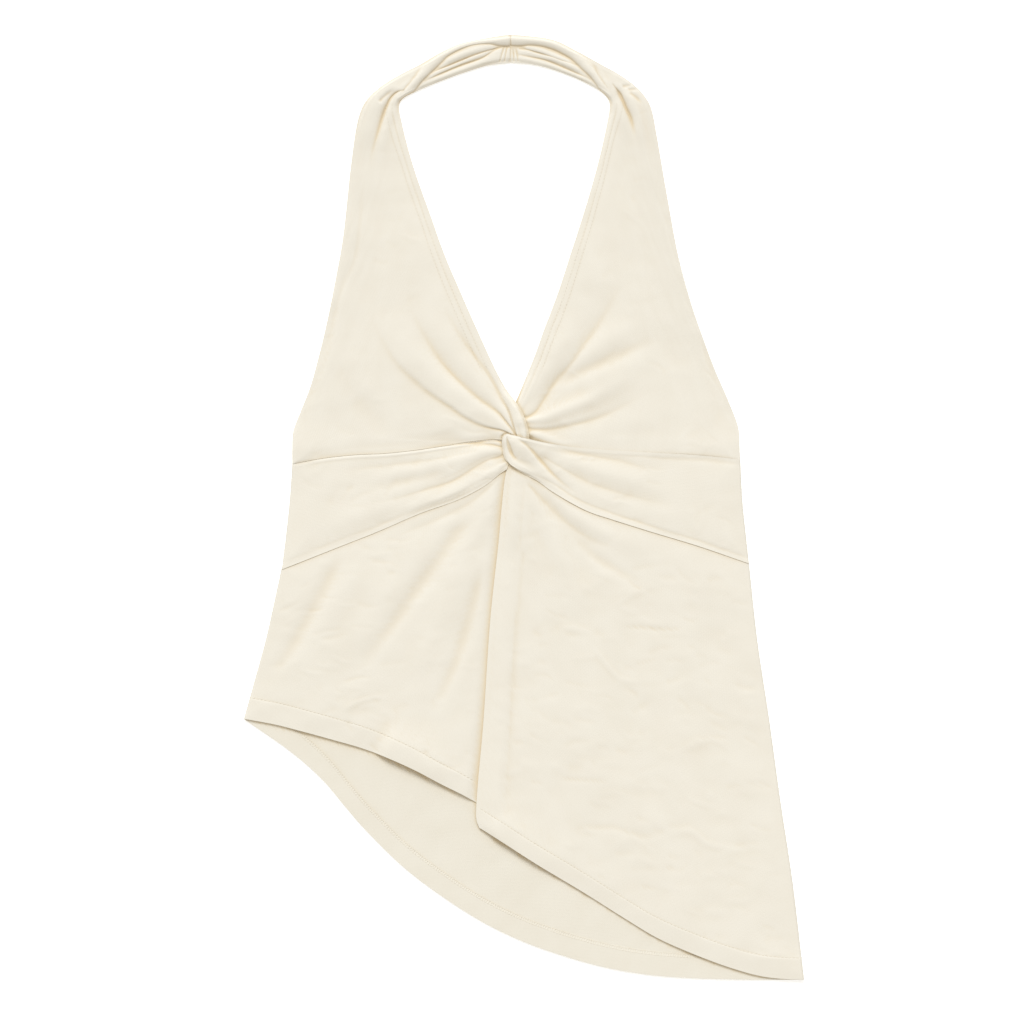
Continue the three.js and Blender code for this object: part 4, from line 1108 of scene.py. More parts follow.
# %% Left bust panel and its half of the neck band
FOLDS_BUST_LEFT = [
    ("hollow by the armhole", -0.6, 6.5, 0, 0, 0, [
        (-150.4, 173.6), (-161.6, 129.6), (-172.8, 87.2), (-179.2, 55.2)]),
    ("soft hollow on the bust", -0.4, 9, 0, 0, 0, [
        (-137.6, 89.6), (-121.6, 69.6), (-99.2, 56.8)]),
    ("soft ridge on the bust", 0.4, 9, 0, 0, 0, [
        (-143.2, 125.6), (-129.6, 97.6), (-105.6, 77.6)]),
    ("first crease, lapped from above", 1, 9, -1, 1, 0, [
        (-8.4, 56.8), (-14.4, 60.3), (-19.2, 61.9), (-27.2, 64), (-36.8, 67.2), (-48.8, 73.6),
        (-57.6, 80), (-74.4, 91.2), (-87.2, 102.4), (-101.6, 116.8), (-110.4, 131.2), (-118.4, 148),
        (-123.2, 163.2)]),
    ("bottom of the first crease", -0.8, 5, 0, 1, 0, [
        (-8.4, 56.5), (-14.4, 59.7), (-19.2, 61.3), (-27.2, 63.2), (-36.8, 66.1), (-48.8, 72.3),
        (-57.6, 78.7), (-74.4, 90), (-87.2, 100.8), (-101.6, 115.2), (-111.2, 130.4), (-118.4, 146.4)]),
    ("second crease", -1.4, 3, 0, 1, 0, [
        (-6, 56.4), (-10.4, 61.6), (-16, 69.6), (-21.6, 76), (-36.8, 87.2), (-53.6, 102.4),
        (-66.4, 116.8), (-77.6, 133.6), (-87.2, 151.2), (-93.6, 165.6)]),
    ("third crease", -1.3, 2.6, 0, 1, 0, [
        (-6, 57.2), (-9, 67.6), (-12, 76.8), (-17.2, 84.8), (-23.2, 97.2), (-36.8, 117.6),
        (-49.6, 135.2), (-60.8, 153.6), (-68.8, 168.8)]),
    ("line in the third crease", -0.9, 0.8, 0, 0.8, 0.2, [
        (-6.1, 56.8), (-8.2, 63.2), (-10.4, 70), (-12.6, 76.4), (-14.8, 81.6), (-17.6, 86.4)]),
    ("line in the second crease", -0.9, 0.8, 0, 0.8, 0.2, [
        (-6.7, 56.8), (-8.8, 60.8), (-11.7, 65.1), (-15.2, 69.4), (-19.2, 74.4), (-24, 78.8)]),
    ("line in the first crease", -0.7, 0.9, 0, 0.8, 0.2, [
        (-8.4, 56.8), (-11.2, 58.4), (-14.4, 60.2), (-19.2, 61.8), (-25.6, 62.9), (-32, 63.8)]),
    ("ridge between first and second", 1, 7, 0, 0.6, 0, [
        (-12.8, 62.4), (-24, 72.8), (-40, 84), (-60, 97.6), (-79.2, 112.8), (-94.4, 131.2),
        (-104, 149.6), (-108.8, 165.6)]),
    ("ridge between second and third", 0.9, 5.5, 0, 0.6, 0, [
        (-10.4, 66.4), (-16.8, 77.6), (-28.8, 91.2), (-44.8, 108.8), (-59.2, 128), (-70.4, 148),
        (-77.6, 164)]),
    ("hook of the curl", -0.9, 0.9, 0, 0.6, 1, [
        (-17.9, 55.7), (-16.3, 57.8), (-13.2, 58.9)]),
    ("ridge of the strip", 1.2, 4.4, 0, 1, 0, [
        (0, 55.2), (-2.4, 66.4), (-7.2, 78.4), (-14.4, 90.4), (-24, 108), (-35.2, 129.6)]),
    ("soft ridge above the band", 0.35, 12, 0, 0, 0, [
        (-25.6, 56.8), (-51.2, 61.6), (-83.2, 71.2), (-115.2, 85.6), (-139.2, 97.6)]),
    ("hollow under the first crease", -0.6, 6, 0, 0.7, 0, [
        (-16.8, 56.8), (-28.8, 58), (-43.2, 60.8), (-59.2, 68.8)]),
    ("armhole hem", -0.35, 3, 0, 0, 0, [
        (-126.4, 279.2), (-130.7, 237.6), (-135.2, 200), (-145.6, 175.2), (-153.6, 141.6),
        (-161.9, 102.4), (-174.4, 50.4)]),
    ("shoulder crease", -2.4, 2, 0, 0.5, 0, [
        (-96.1, 333), (-101, 331.8), (-105.9, 327.8), (-109.1, 322), (-112.4, 313.8), (-115.7, 303.2),
        (-120.8, 285.6), (-124, 268)]),
    ("ridge beside the shoulder crease", 1, 3.6, 0, 0.2, 0, [
        (-102.4, 329.2), (-106, 323.2), (-108.8, 313.6), (-111.2, 301.6), (-114.4, 285.6),
        (-117.6, 265.6)]),
    ("short shoulder crease", -1, 2, 0, 0, 0, [
        (-116.8, 322.4), (-112.8, 326.8), (-107.2, 331.4), (-100, 334.8)]),
    ("ridge of the shoulder", 0.9, 7, 0, 0, 0, [
        (-126.4, 285.6), (-124, 305.6), (-119.2, 320.8), (-107.2, 335.2), (-92.8, 344)]),
    ("strand that crosses over", 1.7, 4.6, 0, 0.8, 0.9, [
        (-98, 326), (-92.8, 332.8), (-85.6, 340.8), (-78.4, 349.6), (-70.4, 357.2), (-61.6, 364),
        (-51.2, 369.2), (-39.2, 372.8), (-27.2, 373.9), (-11.6, 373.9)]),
    ("outer side of the strand", -0.9, 1.5, 0, 0.6, 0, [
        (-98.6, 328.8), (-95.3, 334), (-91.2, 338.8), (-86.8, 344.4), (-82.8, 350.8), (-80.8, 353.8)]),
    ("inner side of the strand", -1.2, 1.6, 0, 0.8, 1, [
        (-96.8, 325.9), (-88.8, 331.8), (-80.6, 341.2), (-73.3, 348.2), (-65.9, 355.2), (-61, 360),
        (-52.8, 364.8), (-41.6, 369.1), (-29.1, 370.2), (-19.2, 368.8), (-11.6, 368.2)]),
    ("second ridge of the neck band", 1.1, 2.6, 0, 0.3, 0.4, [
        (-66.4, 353.2), (-57.6, 358), (-47.2, 362.4), (-36.8, 365.6), (-26.4, 367.7)]),
    ("first line of the neck band", -1.3, 1.3, 0, 0.3, 0.8, [
        (-72.8, 347.4), (-65.6, 350.6), (-57.8, 353.8), (-41.6, 360.4), (-25.9, 365.7), (-17.8, 367.5)]),
    ("third ridge of the neck band", 0.9, 1.7, 0, 0.3, 0.3, [
        (-74.4, 344.6), (-64, 349.8), (-49.6, 355.8), (-35.2, 361.6), (-26.4, 364.8)]),
    ("second line of the neck band", -1.1, 1.2, 0, 0.3, 0.5, [
        (-78.8, 340.6), (-65.9, 346.7), (-49.6, 353.4), (-33.3, 359), (-25.9, 363.7), (-20.8, 366.4)]),
    ("lower ridge of the neck band", 1.2, 3.4, 0, 0.2, 0.5, [
        (-79.2, 336.4), (-66.4, 341.6), (-52.8, 347.2), (-39.2, 352.4), (-25.6, 358), (-11.6, 360.4)]),
    ("gather 1 at the centre back", -1.1, 0.8, 0, 1, 0.8, [
        (-16, 367.6), (-17.6, 362.4), (-19.6, 355.6)]),
    ("gather 2 at the centre back", -1.1, 0.8, 0, 1, 0.8, [
        (-13.6, 367.6), (-14.6, 362.4), (-15.7, 355.6)]),
]
BESIDE_BAND = (-13.8, 58.0)
BESIDE_BACK_SEAM = (CENTRE_BACK_X, 300.0)
map_x = (MAP_CORNER[0] + MAP_CELL * np.arange(MAP_SHAPE[1]))[None, :]
map_y = (MAP_CORNER[1] + MAP_CELL * np.arange(MAP_SHAPE[0]))[:, None]
beside_band = (map_x < BESIDE_BAND[0]) & (map_y < BESIDE_BAND[1])
beside_back_seam = (map_x < BESIDE_BACK_SEAM[0]) & (map_y > BESIDE_BACK_SEAM[1])
under_bust = np.where(beside_band | beside_back_seam, widened(before_band, 2), widened(ground, 2))


def left_share(x, y, z):
    sewn = thinner(x, y, SEAM_LEFT, 0.84, 4) * thinner(x, y, CENTRE_BACK, 0.6, 2)
    return pressed(x, y, z, 0.07) * sewn


bust_left = lay("bust_left_cloth", BUST_LEFT, edged(94), fine_end(410, LEFT_STEPS), FOLDS_BUST_LEFT,
                loft=[(0.7, 45, KNOT), (1.0, 22, (-108, 322))], seed=41, extra=neck_hem,
                share=left_share, quiet=lambda x, y: sewn_flat(x, y, SEAM_LEFT, 15), below=under_bust,
                joined=SEAM_LEFT, joint=0.15, rows=(0,))

# %% [markdown]
# The right band is laid last. Its gathered end is the curl that wraps round everything at the knot, so
# its own left edge is rounded and stands highest. It could be a rolled tube, but from above only its
# rounded edge and the two lines beside it show, so the band is laid over the pile and comes down steeply
# on its other side.

# %% Right band
BAND_TOP_RIGHT = edge([
    (-13.6, 58.4), (-5.6, 56.6), (4.8, 54), (16.8, 51.4), (36.8, 48.2), (60.8, 46), (100.8, 43.6),
    (140.8, 41.2), (172.8, 38),
])
WAIST_RIGHT = edge([
    (-11, 33.5), (-2.4, 27.6), (10.8, 20.8), (22.4, 12.4), (50.4, -3.2), (70.4, -10), (100.8, -19.6),
    (139.2, -31.2), (179.8, -45.2),
])
CURL_EDGE = edge([
    (-13.6, 58.4), (-16.2, 56.6), (-17.4, 53.6), (-17.3, 46.6), (-15.4, 38.6), (-11, 33.5),
])
SIDE_BAND_RIGHT = edge([
    (172.8, 38), (174.4, 5.6), (177, -20), (179.8, -45.2),
])
FOLDS_BAND_RIGHT = [
    ("rolled edge", 0.7, 3, 0, 1, 0, [
        (-16.4, 56), (-15.2, 50.4), (-14, 44.8), (-11.2, 39.2), (-6.4, 33.6), (1.6, 27.6), (12.8, 21.2),
        (28.8, 13.6)]),
    ("line beside the rolled edge", -1.9, 1.2, 0, 1, 0, [
        (-14.1, 57.9), (-12.9, 51.2), (-11.4, 46), (-8.8, 41.1), (-3.6, 35.8)]),
    ("broad roll", 0.8, 5.5, 0, 0.8, 0, [
        (-8.8, 52.8), (-4, 47.2), (3.2, 38.4), (13.6, 28.8), (27.2, 19.2), (44.8, 8.8)]),
    ("line beside the broad roll", -1.3, 2.4, 0, 0.6, 0, [
        (-9.6, 57.6), (-4.8, 54.7), (3.2, 48.2), (13.4, 36.8), (24.6, 24.8), (34.9, 16), (52.8, 4)]),
    ("lap of the broad roll", 0.9, 5, -1, 0.6, 0, [
        (-7.2, 55.5), (1.6, 48.2), (11.8, 36.4), (23, 24), (33.6, 14.8)]),
    ("ridge under the top edge", 0.25, 5, 0, 0.3, 0, [
        (0, 48.8), (16.8, 43.2), (40.8, 36.8), (70.4, 28.8)]),
    ("first crease", -1, 4.6, 0, 0.6, 0, [
        (16.8, 39.2), (32.8, 29.6), (52.8, 19.2), (76.8, 11.2), (104.8, 4), (132.8, -0.8)]),
    ("second crease", -0.9, 4.5, 0, 0.2, 0, [
        (24.8, 44.8), (55.2, 41.6), (76.8, 36.8), (96.8, 31.2), (124.8, 28.8)]),
    ("ridge between the creases", 0.6, 6, 0, 0.3, 0, [
        (28.8, 37.6), (60.8, 28), (92.8, 19.2), (132.8, 12)]),
]
WAIST_LEAST = 0.3
BAND_LEAST = 0.07


def band_share(x, y, z):
    least = WAIST_LEAST - (WAIST_LEAST - BAND_LEAST) * thinner(x, y, WAIST_RIGHT, 0.0, 6)
    return pressed(x, y, z, least)


def band_quiet(x, y):
    return sewn_flat(x, y, WAIST_RIGHT) * smooth_step((from_line(x, y, BAND_TOP_RIGHT) + 2) / 10)


band_right = lay("band_right_cloth", four_sided(BAND_TOP_RIGHT, WAIST_RIGHT, CURL_EDGE, SIDE_BAND_RIGHT),
                 closer(176), edged(76), FOLDS_BAND_RIGHT, slope=0.19, loft=[(0.25, 38, KNOT)], seed=53,
                 share=band_share, quiet=band_quiet)

# %% [markdown]
# Light that reaches the bottom of a crease has bounced from cloth to cloth, so it comes out darker and
# warmer. Subsurface scattering would do some of that, but it blurs fine creases. So that shade is painted
# into the colour instead: the height map is blurred, once over 1.5 mm and once over 6 mm, and how deep each
# point lies below it is stored on the piece as an attribute. The material paints creases, hollows and the
# cloth just beside the edge of a layer above darker and warmer by it.

# %% How deep each point lies, for the painted crease shade
NEAR_BLUR = 1.5
FAR_BLUR = 6.0
NEAR_DEPTH = 0.4
FAR_DEPTH = 2.2
NEAR_SHARE = 0.52
FAR_SHARE = 0.4


def blurred(heights, size):
    cells = max(1, int(round(size / MAP_CELL)))
    for axis in (0, 1):
        for unused in range(3):
            padding = [(0, 0), (0, 0)]
            padding[axis] = (cells + 1, cells)
            total = np.cumsum(np.pad(heights, padding, mode="edge"), axis=axis)
            low, high = [slice(None)] * 2, [slice(None)] * 2
            low[axis], high[axis] = slice(0, -(2 * cells + 1)), slice(2 * cells + 1, None)
            heights = (total[tuple(high)] - total[tuple(low)]) / (2 * cells + 1)
    return heights


around_near, around_far = blurred(ground, NEAR_BLUR), blurred(ground, FAR_BLUR)


# Painted shade: the deeper a point lies below its blurred surroundings, the darker and warmer the material
# paints it.
def add_painted_crease_shade(piece):
    points = np.empty(len(piece.data.vertices) * 3)
    piece.data.vertices.foreach_get("co", points)
    x, y, z = points.reshape(-1, 3).T / MM
    j, i = map_cells(x, y)
    near = np.clip((around_near[j, i] - z) / NEAR_DEPTH, 0, 1)
    far = np.clip((around_far[j, i] - z) / FAR_DEPTH, 0, 1)
    painted_shade = NEAR_SHARE * near + FAR_SHARE * far
    half = SHELL_SIZE[piece.name]
    painted_shade[half:] = 0
    piece.data.attributes.new("crease", "FLOAT", "POINT").data.foreach_set("value", painted_shade)
    print(piece.name, "mean crease", round(float(painted_shade[:half].mean()), 3))


for piece in (back_panel, skirt, band_left, bust_right, bust_left, band_right):
    add_painted_crease_shade(piece)

# %% [markdown]
# The hems are held by a coverstitch: a row of short threads on the face, a little ladder of threads on
# the inside. Their paths could be drawn again by hand, but then they would sink into the cloth or float
# above it. So each path is read off the laid cloth, at one distance in from its edge (edge_rows turns the
# piece's grid so that this edge comes first), and kept only where nothing lies over it.

# %% Where the stitches run
CLEAR_ABOVE = 0.35
LADDER_WIDTH = 2.4


def inward_line(name, distance, edge_rows):
    x, y, z = (edge_rows(g) for g in surfaces[name])
    inward = np.hypot(x - x[:1], y - y[:1])
    line = []
    for column in range(x.shape[1]):
        if inward[:, column].max() > distance:
            line.append([np.interp(distance, inward[:, column], g[:, column]) for g in (x, y, z)])
    return np.array(line)


def in_sight(line, keep):
    j, i = map_cells(line[:, 0], line[:, 1])
    open_above = ground[j, i] < line[:, 2] + CLEAR_ABOVE
    return line[open_above & keep(line[:, 0], line[:, 1])]


from_hem = lambda g: g[::-1]
from_neck = lambda g: g.T
anywhere = lambda x, y: np.full(x.shape, True)
below_shoulder = lambda x, y: (y > 112) & (y < 322)
HEM_PATHS = {
    "skirt_left": in_sight(inward_line("skirt_left", HEM_DEPTH, from_hem), lambda x, y: x < -42),
    "skirt_right": in_sight(inward_line("skirt_right", HEM_DEPTH, from_hem), lambda x, y: x > -34),
}
NECK_PATHS = {
    (name, row): in_sight(inward_line(name, row, from_neck), below_shoulder)
    for name in ("bust_left_cloth", "bust_right_cloth")
    for row in NECK_ROWS
}
LADDER_PATHS = [
    in_sight(inward_line("back_cloth", HEM_DEPTH + place * LADDER_WIDTH, from_hem), anywhere)
    for place in (-0.5, 0, 0.5)
]
print("hem paths", {name: len(line) for name, line in HEM_PATHS.items()}, "ladder", len(LADDER_PATHS[0]))
print("neck paths", {name: len(line) for name, line in NECK_PATHS.items()})

# %% [markdown]
# An Array modifier on a curve could repeat a thread, but it would bend each one and space them all alike.
# One Geometry Nodes tree instead sets a small, straight thread at every pitch along a path, turned and
# scaled by its named inputs, so the same tree serves the hem, the neck edge and the ladder. A seeded turn
# either way keeps the rows from looking machine-drawn. First the inputs, then how each thread is turned.

# %% Inputs of the stitch tree and the turn of a thread
STITCH_SOCKETS = [
    ("Pitch", "NodeSocketFloat", 0.003),
    ("Length", "NodeSocketFloat", 0.002),
    ("Thickness", "NodeSocketFloat", 0.0004),
    ("Turn", "NodeSocketFloat", 0.0),
    ("Wander", "NodeSocketFloat", 0.1),
    ("Seed", "NodeSocketInt", 1),
    ("Thread", "NodeSocketMaterial", None),
]


def named_inputs(tree):
    face = tree.interface
    face.new_socket("Geometry", in_out="OUTPUT", socket_type="NodeSocketGeometry")
    face.new_socket("Geometry", in_out="INPUT", socket_type="NodeSocketGeometry")
    identifiers = {}
    for name, kind, start in STITCH_SOCKETS:
        socket = face.new_socket(name, in_out="INPUT", socket_type=kind)
        if start is not None:
            socket.default_value = start
        identifiers[name] = socket.identifier
    return identifiers


def thread_turn(add, join, given):
    tangent, along = add("GeometryNodeInputTangent"), add("FunctionNodeAlignRotationToVector")
    along.axis = "X"
    join(tangent.outputs["Tangent"], along.inputs["Vector"])
    chance, turn = add("FunctionNodeRandomValue"), add("ShaderNodeMath")
    about = add("FunctionNodeAxisAngleToRotation")
    chance.data_type = "FLOAT"
    less = add("ShaderNodeMath")
    less.operation = "MULTIPLY"
    less.inputs[1].default_value = -1
    join(given.outputs["Wander"], less.inputs[0])
    join(less.outputs["Value"], chance.inputs[2])
    join(given.outputs["Wander"], chance.inputs[3])
    join(given.outputs["Seed"], chance.inputs["Seed"])
    join(chance.outputs[1], turn.inputs[0])
    join(given.outputs["Turn"], turn.inputs[1])
    join(turn.outputs["Value"], about.inputs["Angle"])
    both = add("FunctionNodeRotateRotation")
    both.rotation_space = "LOCAL"
    join(along.outputs["Rotation"], both.inputs["Rotation"])
    join(about.outputs["Rotation"], both.inputs["Rotate By"])
    return both.outputs["Rotation"]


# %% [markdown]
# Each thread is a ball of a few faces, drawn out to the stitch's length and thickness: at this size that
# is all the eye can tell from a real twisted thread. The instances are made real and given their material
# at the end of the tree, because the export keeps plain meshes only.

# %% Stitch tree


def stitch_tree():
    tree = bpy.data.node_groups.new("threads along a path", "GeometryNodeTree")
    identifiers = named_inputs(tree)
    add, join = tree.nodes.new, tree.links.new
    given, made = add("NodeGroupInput"), add("NodeGroupOutput")
    path, spaced = add("GeometryNodeMeshToCurve"), add("GeometryNodeResampleCurve")
    spaced.mode = "LENGTH"
    join(given.outputs["Geometry"], path.inputs["Mesh"])
    join(path.outputs["Curve"], spaced.inputs["Curve"])
    join(given.outputs["Pitch"], spaced.inputs["Length"])
    thread, size = add("GeometryNodeMeshUVSphere"), add("ShaderNodeCombineXYZ")
    thread.inputs["Segments"].default_value = 8
    thread.inputs["Rings"].default_value = 6
    thread.inputs["Radius"].default_value = 0.5
    join(given.outputs["Length"], size.inputs["X"])
    join(given.outputs["Thickness"], size.inputs["Y"])
    join(given.outputs["Thickness"], size.inputs["Z"])
    placed = add("GeometryNodeInstanceOnPoints")
    join(spaced.outputs["Curve"], placed.inputs["Points"])
    join(thread.outputs["Mesh"], placed.inputs["Instance"])
    join(thread_turn(add, join, given), placed.inputs["Rotation"])
    join(size.outputs["Vector"], placed.inputs["Scale"])
    real, smooth = add("GeometryNodeRealizeInstances"), add("GeometryNodeSetShadeSmooth")
    dressed = add("GeometryNodeSetMaterial")
    join(placed.outputs["Instances"], real.inputs["Geometry"])
    join(real.outputs["Geometry"], smooth.inputs["Geometry"])
    join(smooth.outputs["Geometry"], dressed.inputs["Geometry"])
    join(given.outputs["Thread"], dressed.inputs["Material"])
    join(dressed.outputs["Geometry"], made.inputs["Geometry"])
    return tree, identifiers


STITCHES, STITCH_INPUTS = stitch_tree()
print("stitch tree inputs:", ", ".join(STITCH_INPUTS))

# %% [markdown]
# Jersey is a fine plain knit: rows of tiny loops that stand in wales, matt, with a soft bloom at grazing
# angles. A photograph of cloth would give it quickly, but no picture is used here. The colour is a warm
# cream that varies a little, in blotches and in fine flecks. By the stored depth it is also painted darker
# and warmer in creases and hollows, where shade falls: painted shade.

# %% Colour of the jersey, with painted shade in its creases
# Painted shade: creases and hollows are darkened and warmed towards the deep colour times this tint.
CREASE_SHADE_TINT = (0.88, 0.76, 0.56)
BLOTCH_SCALE = 38
FLECK_SCALE = 900


def noise(tree, uv, scale, detail):
    texture = tree.nodes.new("ShaderNodeTexNoise")
    texture.inputs["Scale"].default_value = scale
    texture.inputs["Detail"].default_value = detail
    tree.links.new(uv.outputs["UV"], texture.inputs["Vector"])
    return texture


def cloth_colour(tree, uv, fleck, colour, deep):
    nodes, links = tree.nodes, tree.links
    blotch = noise(tree, uv, BLOTCH_SCALE, 5)
    mixed = nodes.new("ShaderNodeMath")
    mixed.operation = "MULTIPLY_ADD"
    mixed.inputs[1].default_value = 0.45
    links.new(fleck.outputs["Fac"], mixed.inputs[0])
    links.new(blotch.outputs["Fac"], mixed.inputs[2])
    ramp = nodes.new("ShaderNodeValToRGB")
    ramp.color_ramp.elements[0].position = 0.45
    ramp.color_ramp.elements[0].color = (*deep, 1)
    ramp.color_ramp.elements[1].position = 0.95
    ramp.color_ramp.elements[1].color = (*colour, 1)
    links.new(mixed.outputs["Value"], ramp.inputs["Fac"])
    # Painted shade: the stored crease depth mixes the colour towards a darker, warmer tint in creases,
    # hollows and beside the edges of layers above.
    crease = nodes.new("ShaderNodeAttribute")
    crease.attribute_name = "crease"
    crease_shaded_colour = nodes.new("ShaderNodeMix")
    crease_shaded_colour.data_type = "RGBA"
    links.new(crease.outputs["Fac"], crease_shaded_colour.inputs["Factor"])
    links.new(ramp.outputs["Color"], crease_shaded_colour.inputs["A"])
    crease_shaded_colour.inputs["B"].default_value = (*[c * w for c, w in zip(deep, CREASE_SHADE_TINT)], 1)
    return crease_shaded_colour.outputs["Result"]


# %% [markdown]
# The bump is the knit itself, wales times courses, with fuzz over it. Real wales stand about 0.7 mm
# apart, less than a pixel of the picture. Here they are drawn 1.4 mm apart and the courses 1.1 mm,
# because finer ones would only shimmer.

# %% Knit of the jersey
WALES_SCALE = 220
COURSES_SCALE = 280


def ribs(tree, uv, direction, scale, distortion, detail):
    texture = tree.nodes.new("ShaderNodeTexWave")
    texture.wave_type = "BANDS"
    texture.bands_direction = direction
    texture.inputs["Scale"].default_value = scale
    texture.inputs["Distortion"].default_value = distortion
    texture.inputs["Detail"].default_value = detail
    tree.links.new(uv.outputs["UV"], texture.inputs["Vector"])
    return texture


def knit_bump(tree, uv, fleck):
    nodes, links = tree.nodes, tree.links
    wales = ribs(tree, uv, "X", WALES_SCALE, 1.2, 1)
    courses = ribs(tree, uv, "Y", COURSES_SCALE, 1.0, 2)
    knit = nodes.new("ShaderNodeMath")
    knit.operation = "MULTIPLY"
    links.new(wales.outputs["Fac"], knit.inputs[0])
    links.new(courses.outputs["Fac"], knit.inputs[1])
    fuzz = nodes.new("ShaderNodeMath")
    fuzz.operation = "MULTIPLY_ADD"
    fuzz.inputs[1].default_value = 2.2
    links.new(fleck.outputs["Fac"], fuzz.inputs[0])
    links.new(knit.outputs["Value"], fuzz.inputs[2])
    bump = nodes.new("ShaderNodeBump")
    bump.inputs["Strength"].default_value = 0.4
    bump.inputs["Distance"].default_value = 0.0001
    links.new(fuzz.outputs["Value"], bump.inputs["Height"])
    return bump.outputs["Normal"]


def jersey(name, colour, deep):
    material = bpy.data.materials.new(name)
    material.use_nodes = True
    tree = material.node_tree
    surface = tree.nodes["Principled BSDF"]
    surface.inputs["Roughness"].default_value = 0.82
    surface.inputs["Sheen Weight"].default_value = 0.12
    surface.inputs["Sheen Roughness"].default_value = 0.45
    surface.inputs["Specular IOR Level"].default_value = 0.25
    uv = tree.nodes.new("ShaderNodeUVMap")
    uv.uv_map = "cloth"
    fleck = noise(tree, uv, FLECK_SCALE, 3)
    tree.links.new(cloth_colour(tree, uv, fleck, colour, deep), surface.inputs["Base Color"])
    tree.links.new(knit_bump(tree, uv, fleck), surface.inputs["Normal"])
    return material


cream = jersey("cream_jersey", (0.80, 0.755, 0.655), (0.775, 0.725, 0.62))
cream_inside = jersey("cream_jersey_inside", (0.785, 0.74, 0.635), (0.755, 0.705, 0.595))
print("jersey nodes:", len(cream.node_tree.nodes))

# %% [markdown]
# The thread is a plain polyester one, a shade deeper than the cloth, with a slight twist along it. A
# single colour would do from afar; the fine bands keep it from looking like plastic up close.

# %% Thread


def thread_finish():
    material = bpy.data.materials.new("sewing_thread")
    material.use_nodes = True
    nodes, links = material.node_tree.nodes, material.node_tree.links
    surface = nodes["Principled BSDF"]
    surface.inputs["Roughness"].default_value = 0.6
    surface.inputs["Specular IOR Level"].default_value = 0.3
    place, twist = nodes.new("ShaderNodeTexCoord"), nodes.new("ShaderNodeTexWave")
    ramp = nodes.new("ShaderNodeValToRGB")
    twist.inputs["Scale"].default_value = 900
    twist.inputs["Distortion"].default_value = 2
    ramp.color_ramp.elements[0].color = (0.68, 0.615, 0.5, 1)
    ramp.color_ramp.elements[1].color = (0.80, 0.75, 0.64, 1)
    links.new(place.outputs["Object"], twist.inputs["Vector"])
    links.new(twist.outputs["Fac"], ramp.inputs["Fac"])
    links.new(ramp.outputs["Color"], surface.inputs["Base Color"])
    return material


THREAD = thread_finish()
print("thread nodes:", len(THREAD.node_tree.nodes))

# %% [markdown]
# A row of stitches is made from its path: the tree is put on it as a modifier, its inputs are set by
# their identifiers, and the evaluated result replaces the path as a plain mesh. On the face the threads
# are short and lie along the row. On the inside two rows of them are the ladder's sides, and a third,
# turned across, its rungs.

# %% Stitches
LIFT = 0.04


def stitches(name, lines, pitch, length, thickness, turn, wander, seed):
    points, edges = [], []
    for line in lines:
        start = len(points)
        points += [(x * MM, y * MM, (z + LIFT) * MM) for x, y, z in line]
        edges += [(i, i + 1) for i in range(start, len(points) - 1)]
    path = bpy.data.meshes.new(name)
    path.from_pydata(points, edges, [])
    row = bpy.data.objects.new(name, path)
    bpy.context.collection.objects.link(row)
    modifier = row.modifiers.new("threads", "NODES")
    modifier.node_group = STITCHES
    given = {"Pitch": pitch * MM, "Length": length * MM, "Thickness": thickness * MM, "Turn": turn,
             "Wander": wander, "Seed": seed, "Thread": THREAD}
    for socket, value in given.items():
        modifier[STITCH_INPUTS[socket]] = value
    evaluated = row.evaluated_get(bpy.context.evaluated_depsgraph_get())
    row.data = bpy.data.meshes.new_from_object(evaluated)
    row.modifiers.remove(modifier)
    bpy.data.meshes.remove(path)
    print(name, "faces", len(row.data.polygons))
    return row


def neck_stitches(side, seed):
    rows = [NECK_PATHS[f"bust_{side}_cloth", row] for row in NECK_ROWS]
    return stitches(f"neck_stitches_{side}", rows, pitch=2.9, length=2.1, thickness=0.36, turn=0.0,
                    wander=0.12, seed=seed)


hem_stitches = stitches("hem_stitches", list(HEM_PATHS.values()), pitch=3.1, length=2.3, thickness=0.42,
                        turn=0.0, wander=0.3, seed=5)
neck_left, neck_right = neck_stitches("left", 6), neck_stitches("right", 7)
ladder_sides = stitches("hem_ladder_sides", [LADDER_PATHS[0], LADDER_PATHS[2]], pitch=2.6, length=2.3,
                        thickness=0.34, turn=0.0, wander=0.1, seed=8)
ladder_rungs = stitches("hem_ladder_rungs", [LADDER_PATHS[1]], pitch=1.9, length=LADDER_WIDTH,
                        thickness=0.34, turn=1.35, wander=0.25, seed=9)

# %% [markdown]
# Each shell stands in for its solid, is given its jersey material and rides on the one body there is, since
# nothing on a top moves. The stitches ride with the piece that they are sewn to.

# %% Hand the pieces to the frame
pieces = {
    "back_panel": (back_panel, cream_inside),
    "front_skirt": (skirt, cream),
    "band_left": (band_left, cream),
    "bust_right": (bust_right, cream),
    "bust_left": (bust_left, cream),
    "band_right": (band_right, cream),
}
trims = {
    "back_panel": [ladder_sides, ladder_rungs],
    "front_skirt": [hem_stitches],
    "bust_right": [neck_right],
    "bust_left": [neck_left],
}
for node, (piece, material) in pieces.items():
    piece.data.materials.append(material)
    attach(piece, "root")
    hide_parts(node)
    for trim in trims.get(node, []):
        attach(trim, "root")
print(len(pieces), "pieces and", sum(len(rows) for rows in trims.values()), "rows of stitches")

# %% [markdown]
# For each piece of cloth that is laid out, the size of the cut that shows here is worked out: its width
# and length as it lies, and for the skirt the two widths that the pleat takes up. The area is half that of
# the closed shell, which has the cloth's two faces.

# %% Cut of each piece
PLEAT_TAKES = {"front_skirt": 2 * PLEAT * MM}


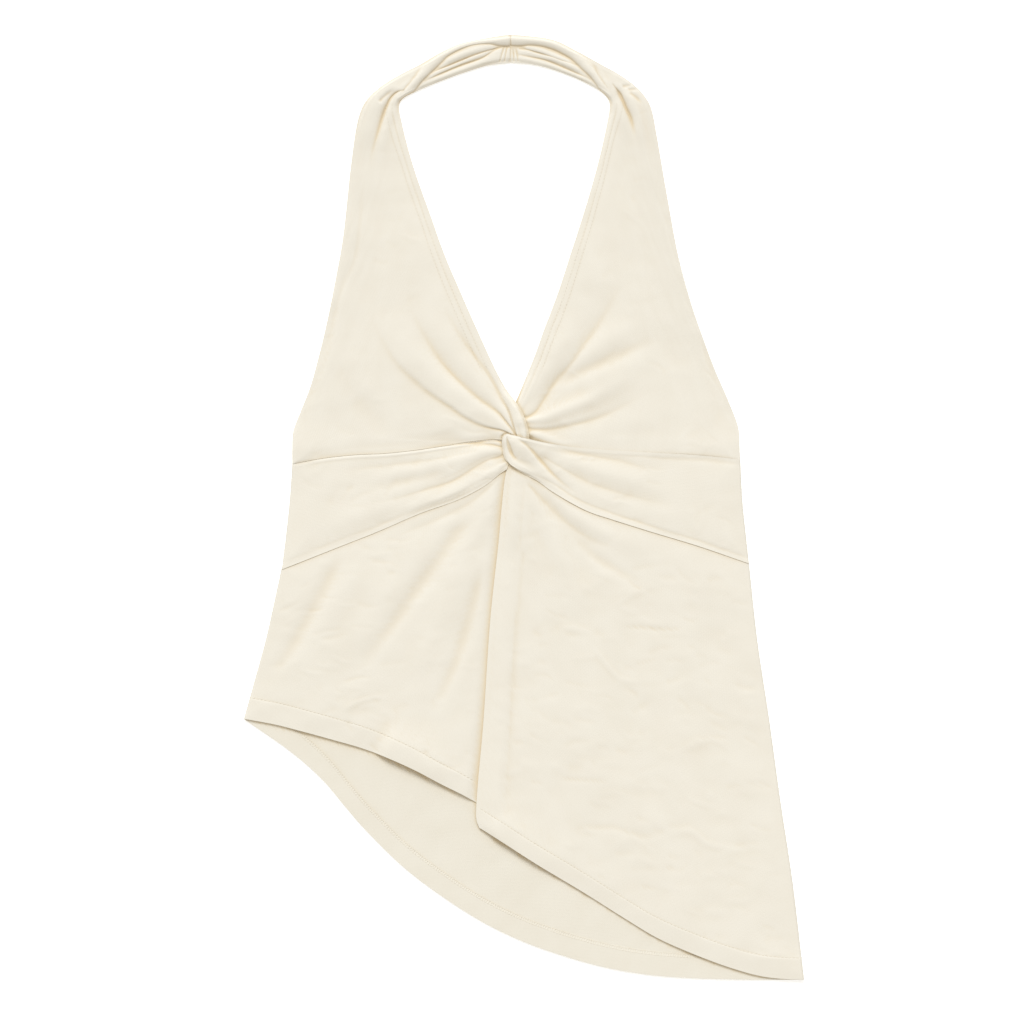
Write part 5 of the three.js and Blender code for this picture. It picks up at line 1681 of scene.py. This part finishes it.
def cut_of(node):
    mesh = pieces[node][0].data
    area = np.empty(len(mesh.polygons))
    mesh.polygons.foreach_get("area", area)
    spot = np.empty(len(mesh.vertices) * 3)
    mesh.vertices.foreach_get("co", spot)
    width, length, unused = np.ptp(spot.reshape(-1, 3), axis=0)
    return width + PLEAT_TAKES.get(node, 0), length, area.sum() / 2


for node, (piece, material) in pieces.items():
    width, length, area = cut_of(node)
    print(node, "cut", round(width, 3), "x", round(length, 3), "m, area", round(area, 4), "m2, share",
          round(area / width / length, 2))

# %% [markdown]
# The light is that of a product picture: a white floor, even light all round, and one large soft light
# from the top of the picture, which leaves soft shadows just under each ridge. An area light would do as
# well, but a sun with a wide angle lights the whole top alike. The floor glows a little, as overexposed
# paper does.

# %% Light and floor finish
KEY_ZENITH = 52.0
KEY_SHARE = 0.44
FILL_SHARE = 0.68
KEY_SOFTNESS = 24.0
KEY_TURN = 8.0
bpy.context.scene.view_settings.view_transform = "Standard"
world = bpy.data.worlds.new("studio")
bpy.context.scene.world = world
world.use_nodes = True
world.node_tree.nodes["Background"].inputs["Color"].default_value = (1.03, 1.0, 0.95, 1)
world.node_tree.nodes["Background"].inputs["Strength"].default_value = FILL_SHARE

key_data = bpy.data.lights.new("window", "SUN")
key_data.energy = KEY_SHARE * np.pi / np.cos(np.radians(KEY_ZENITH))
key_data.angle = np.radians(KEY_SOFTNESS)
key_data.color = (0.954, 1.0, 1.077)
key = bpy.data.objects.new("window", key_data)
key.rotation_euler = (np.radians(-KEY_ZENITH), 0, np.radians(KEY_TURN))
bpy.context.collection.objects.link(key)

paper = bpy.data.materials.new("white_floor")
paper.use_nodes = True
paper_surface = paper.node_tree.nodes["Principled BSDF"]
paper_surface.inputs["Base Color"].default_value = (0.98, 0.98, 0.98, 1)
paper_surface.inputs["Roughness"].default_value = 0.95
paper_surface.inputs["Emission Color"].default_value = (1, 1, 1, 1)
paper_surface.inputs["Emission Strength"].default_value = 0.3
paper_surface.inputs["Specular IOR Level"].default_value = 0.1
floor.data.materials.append(paper)
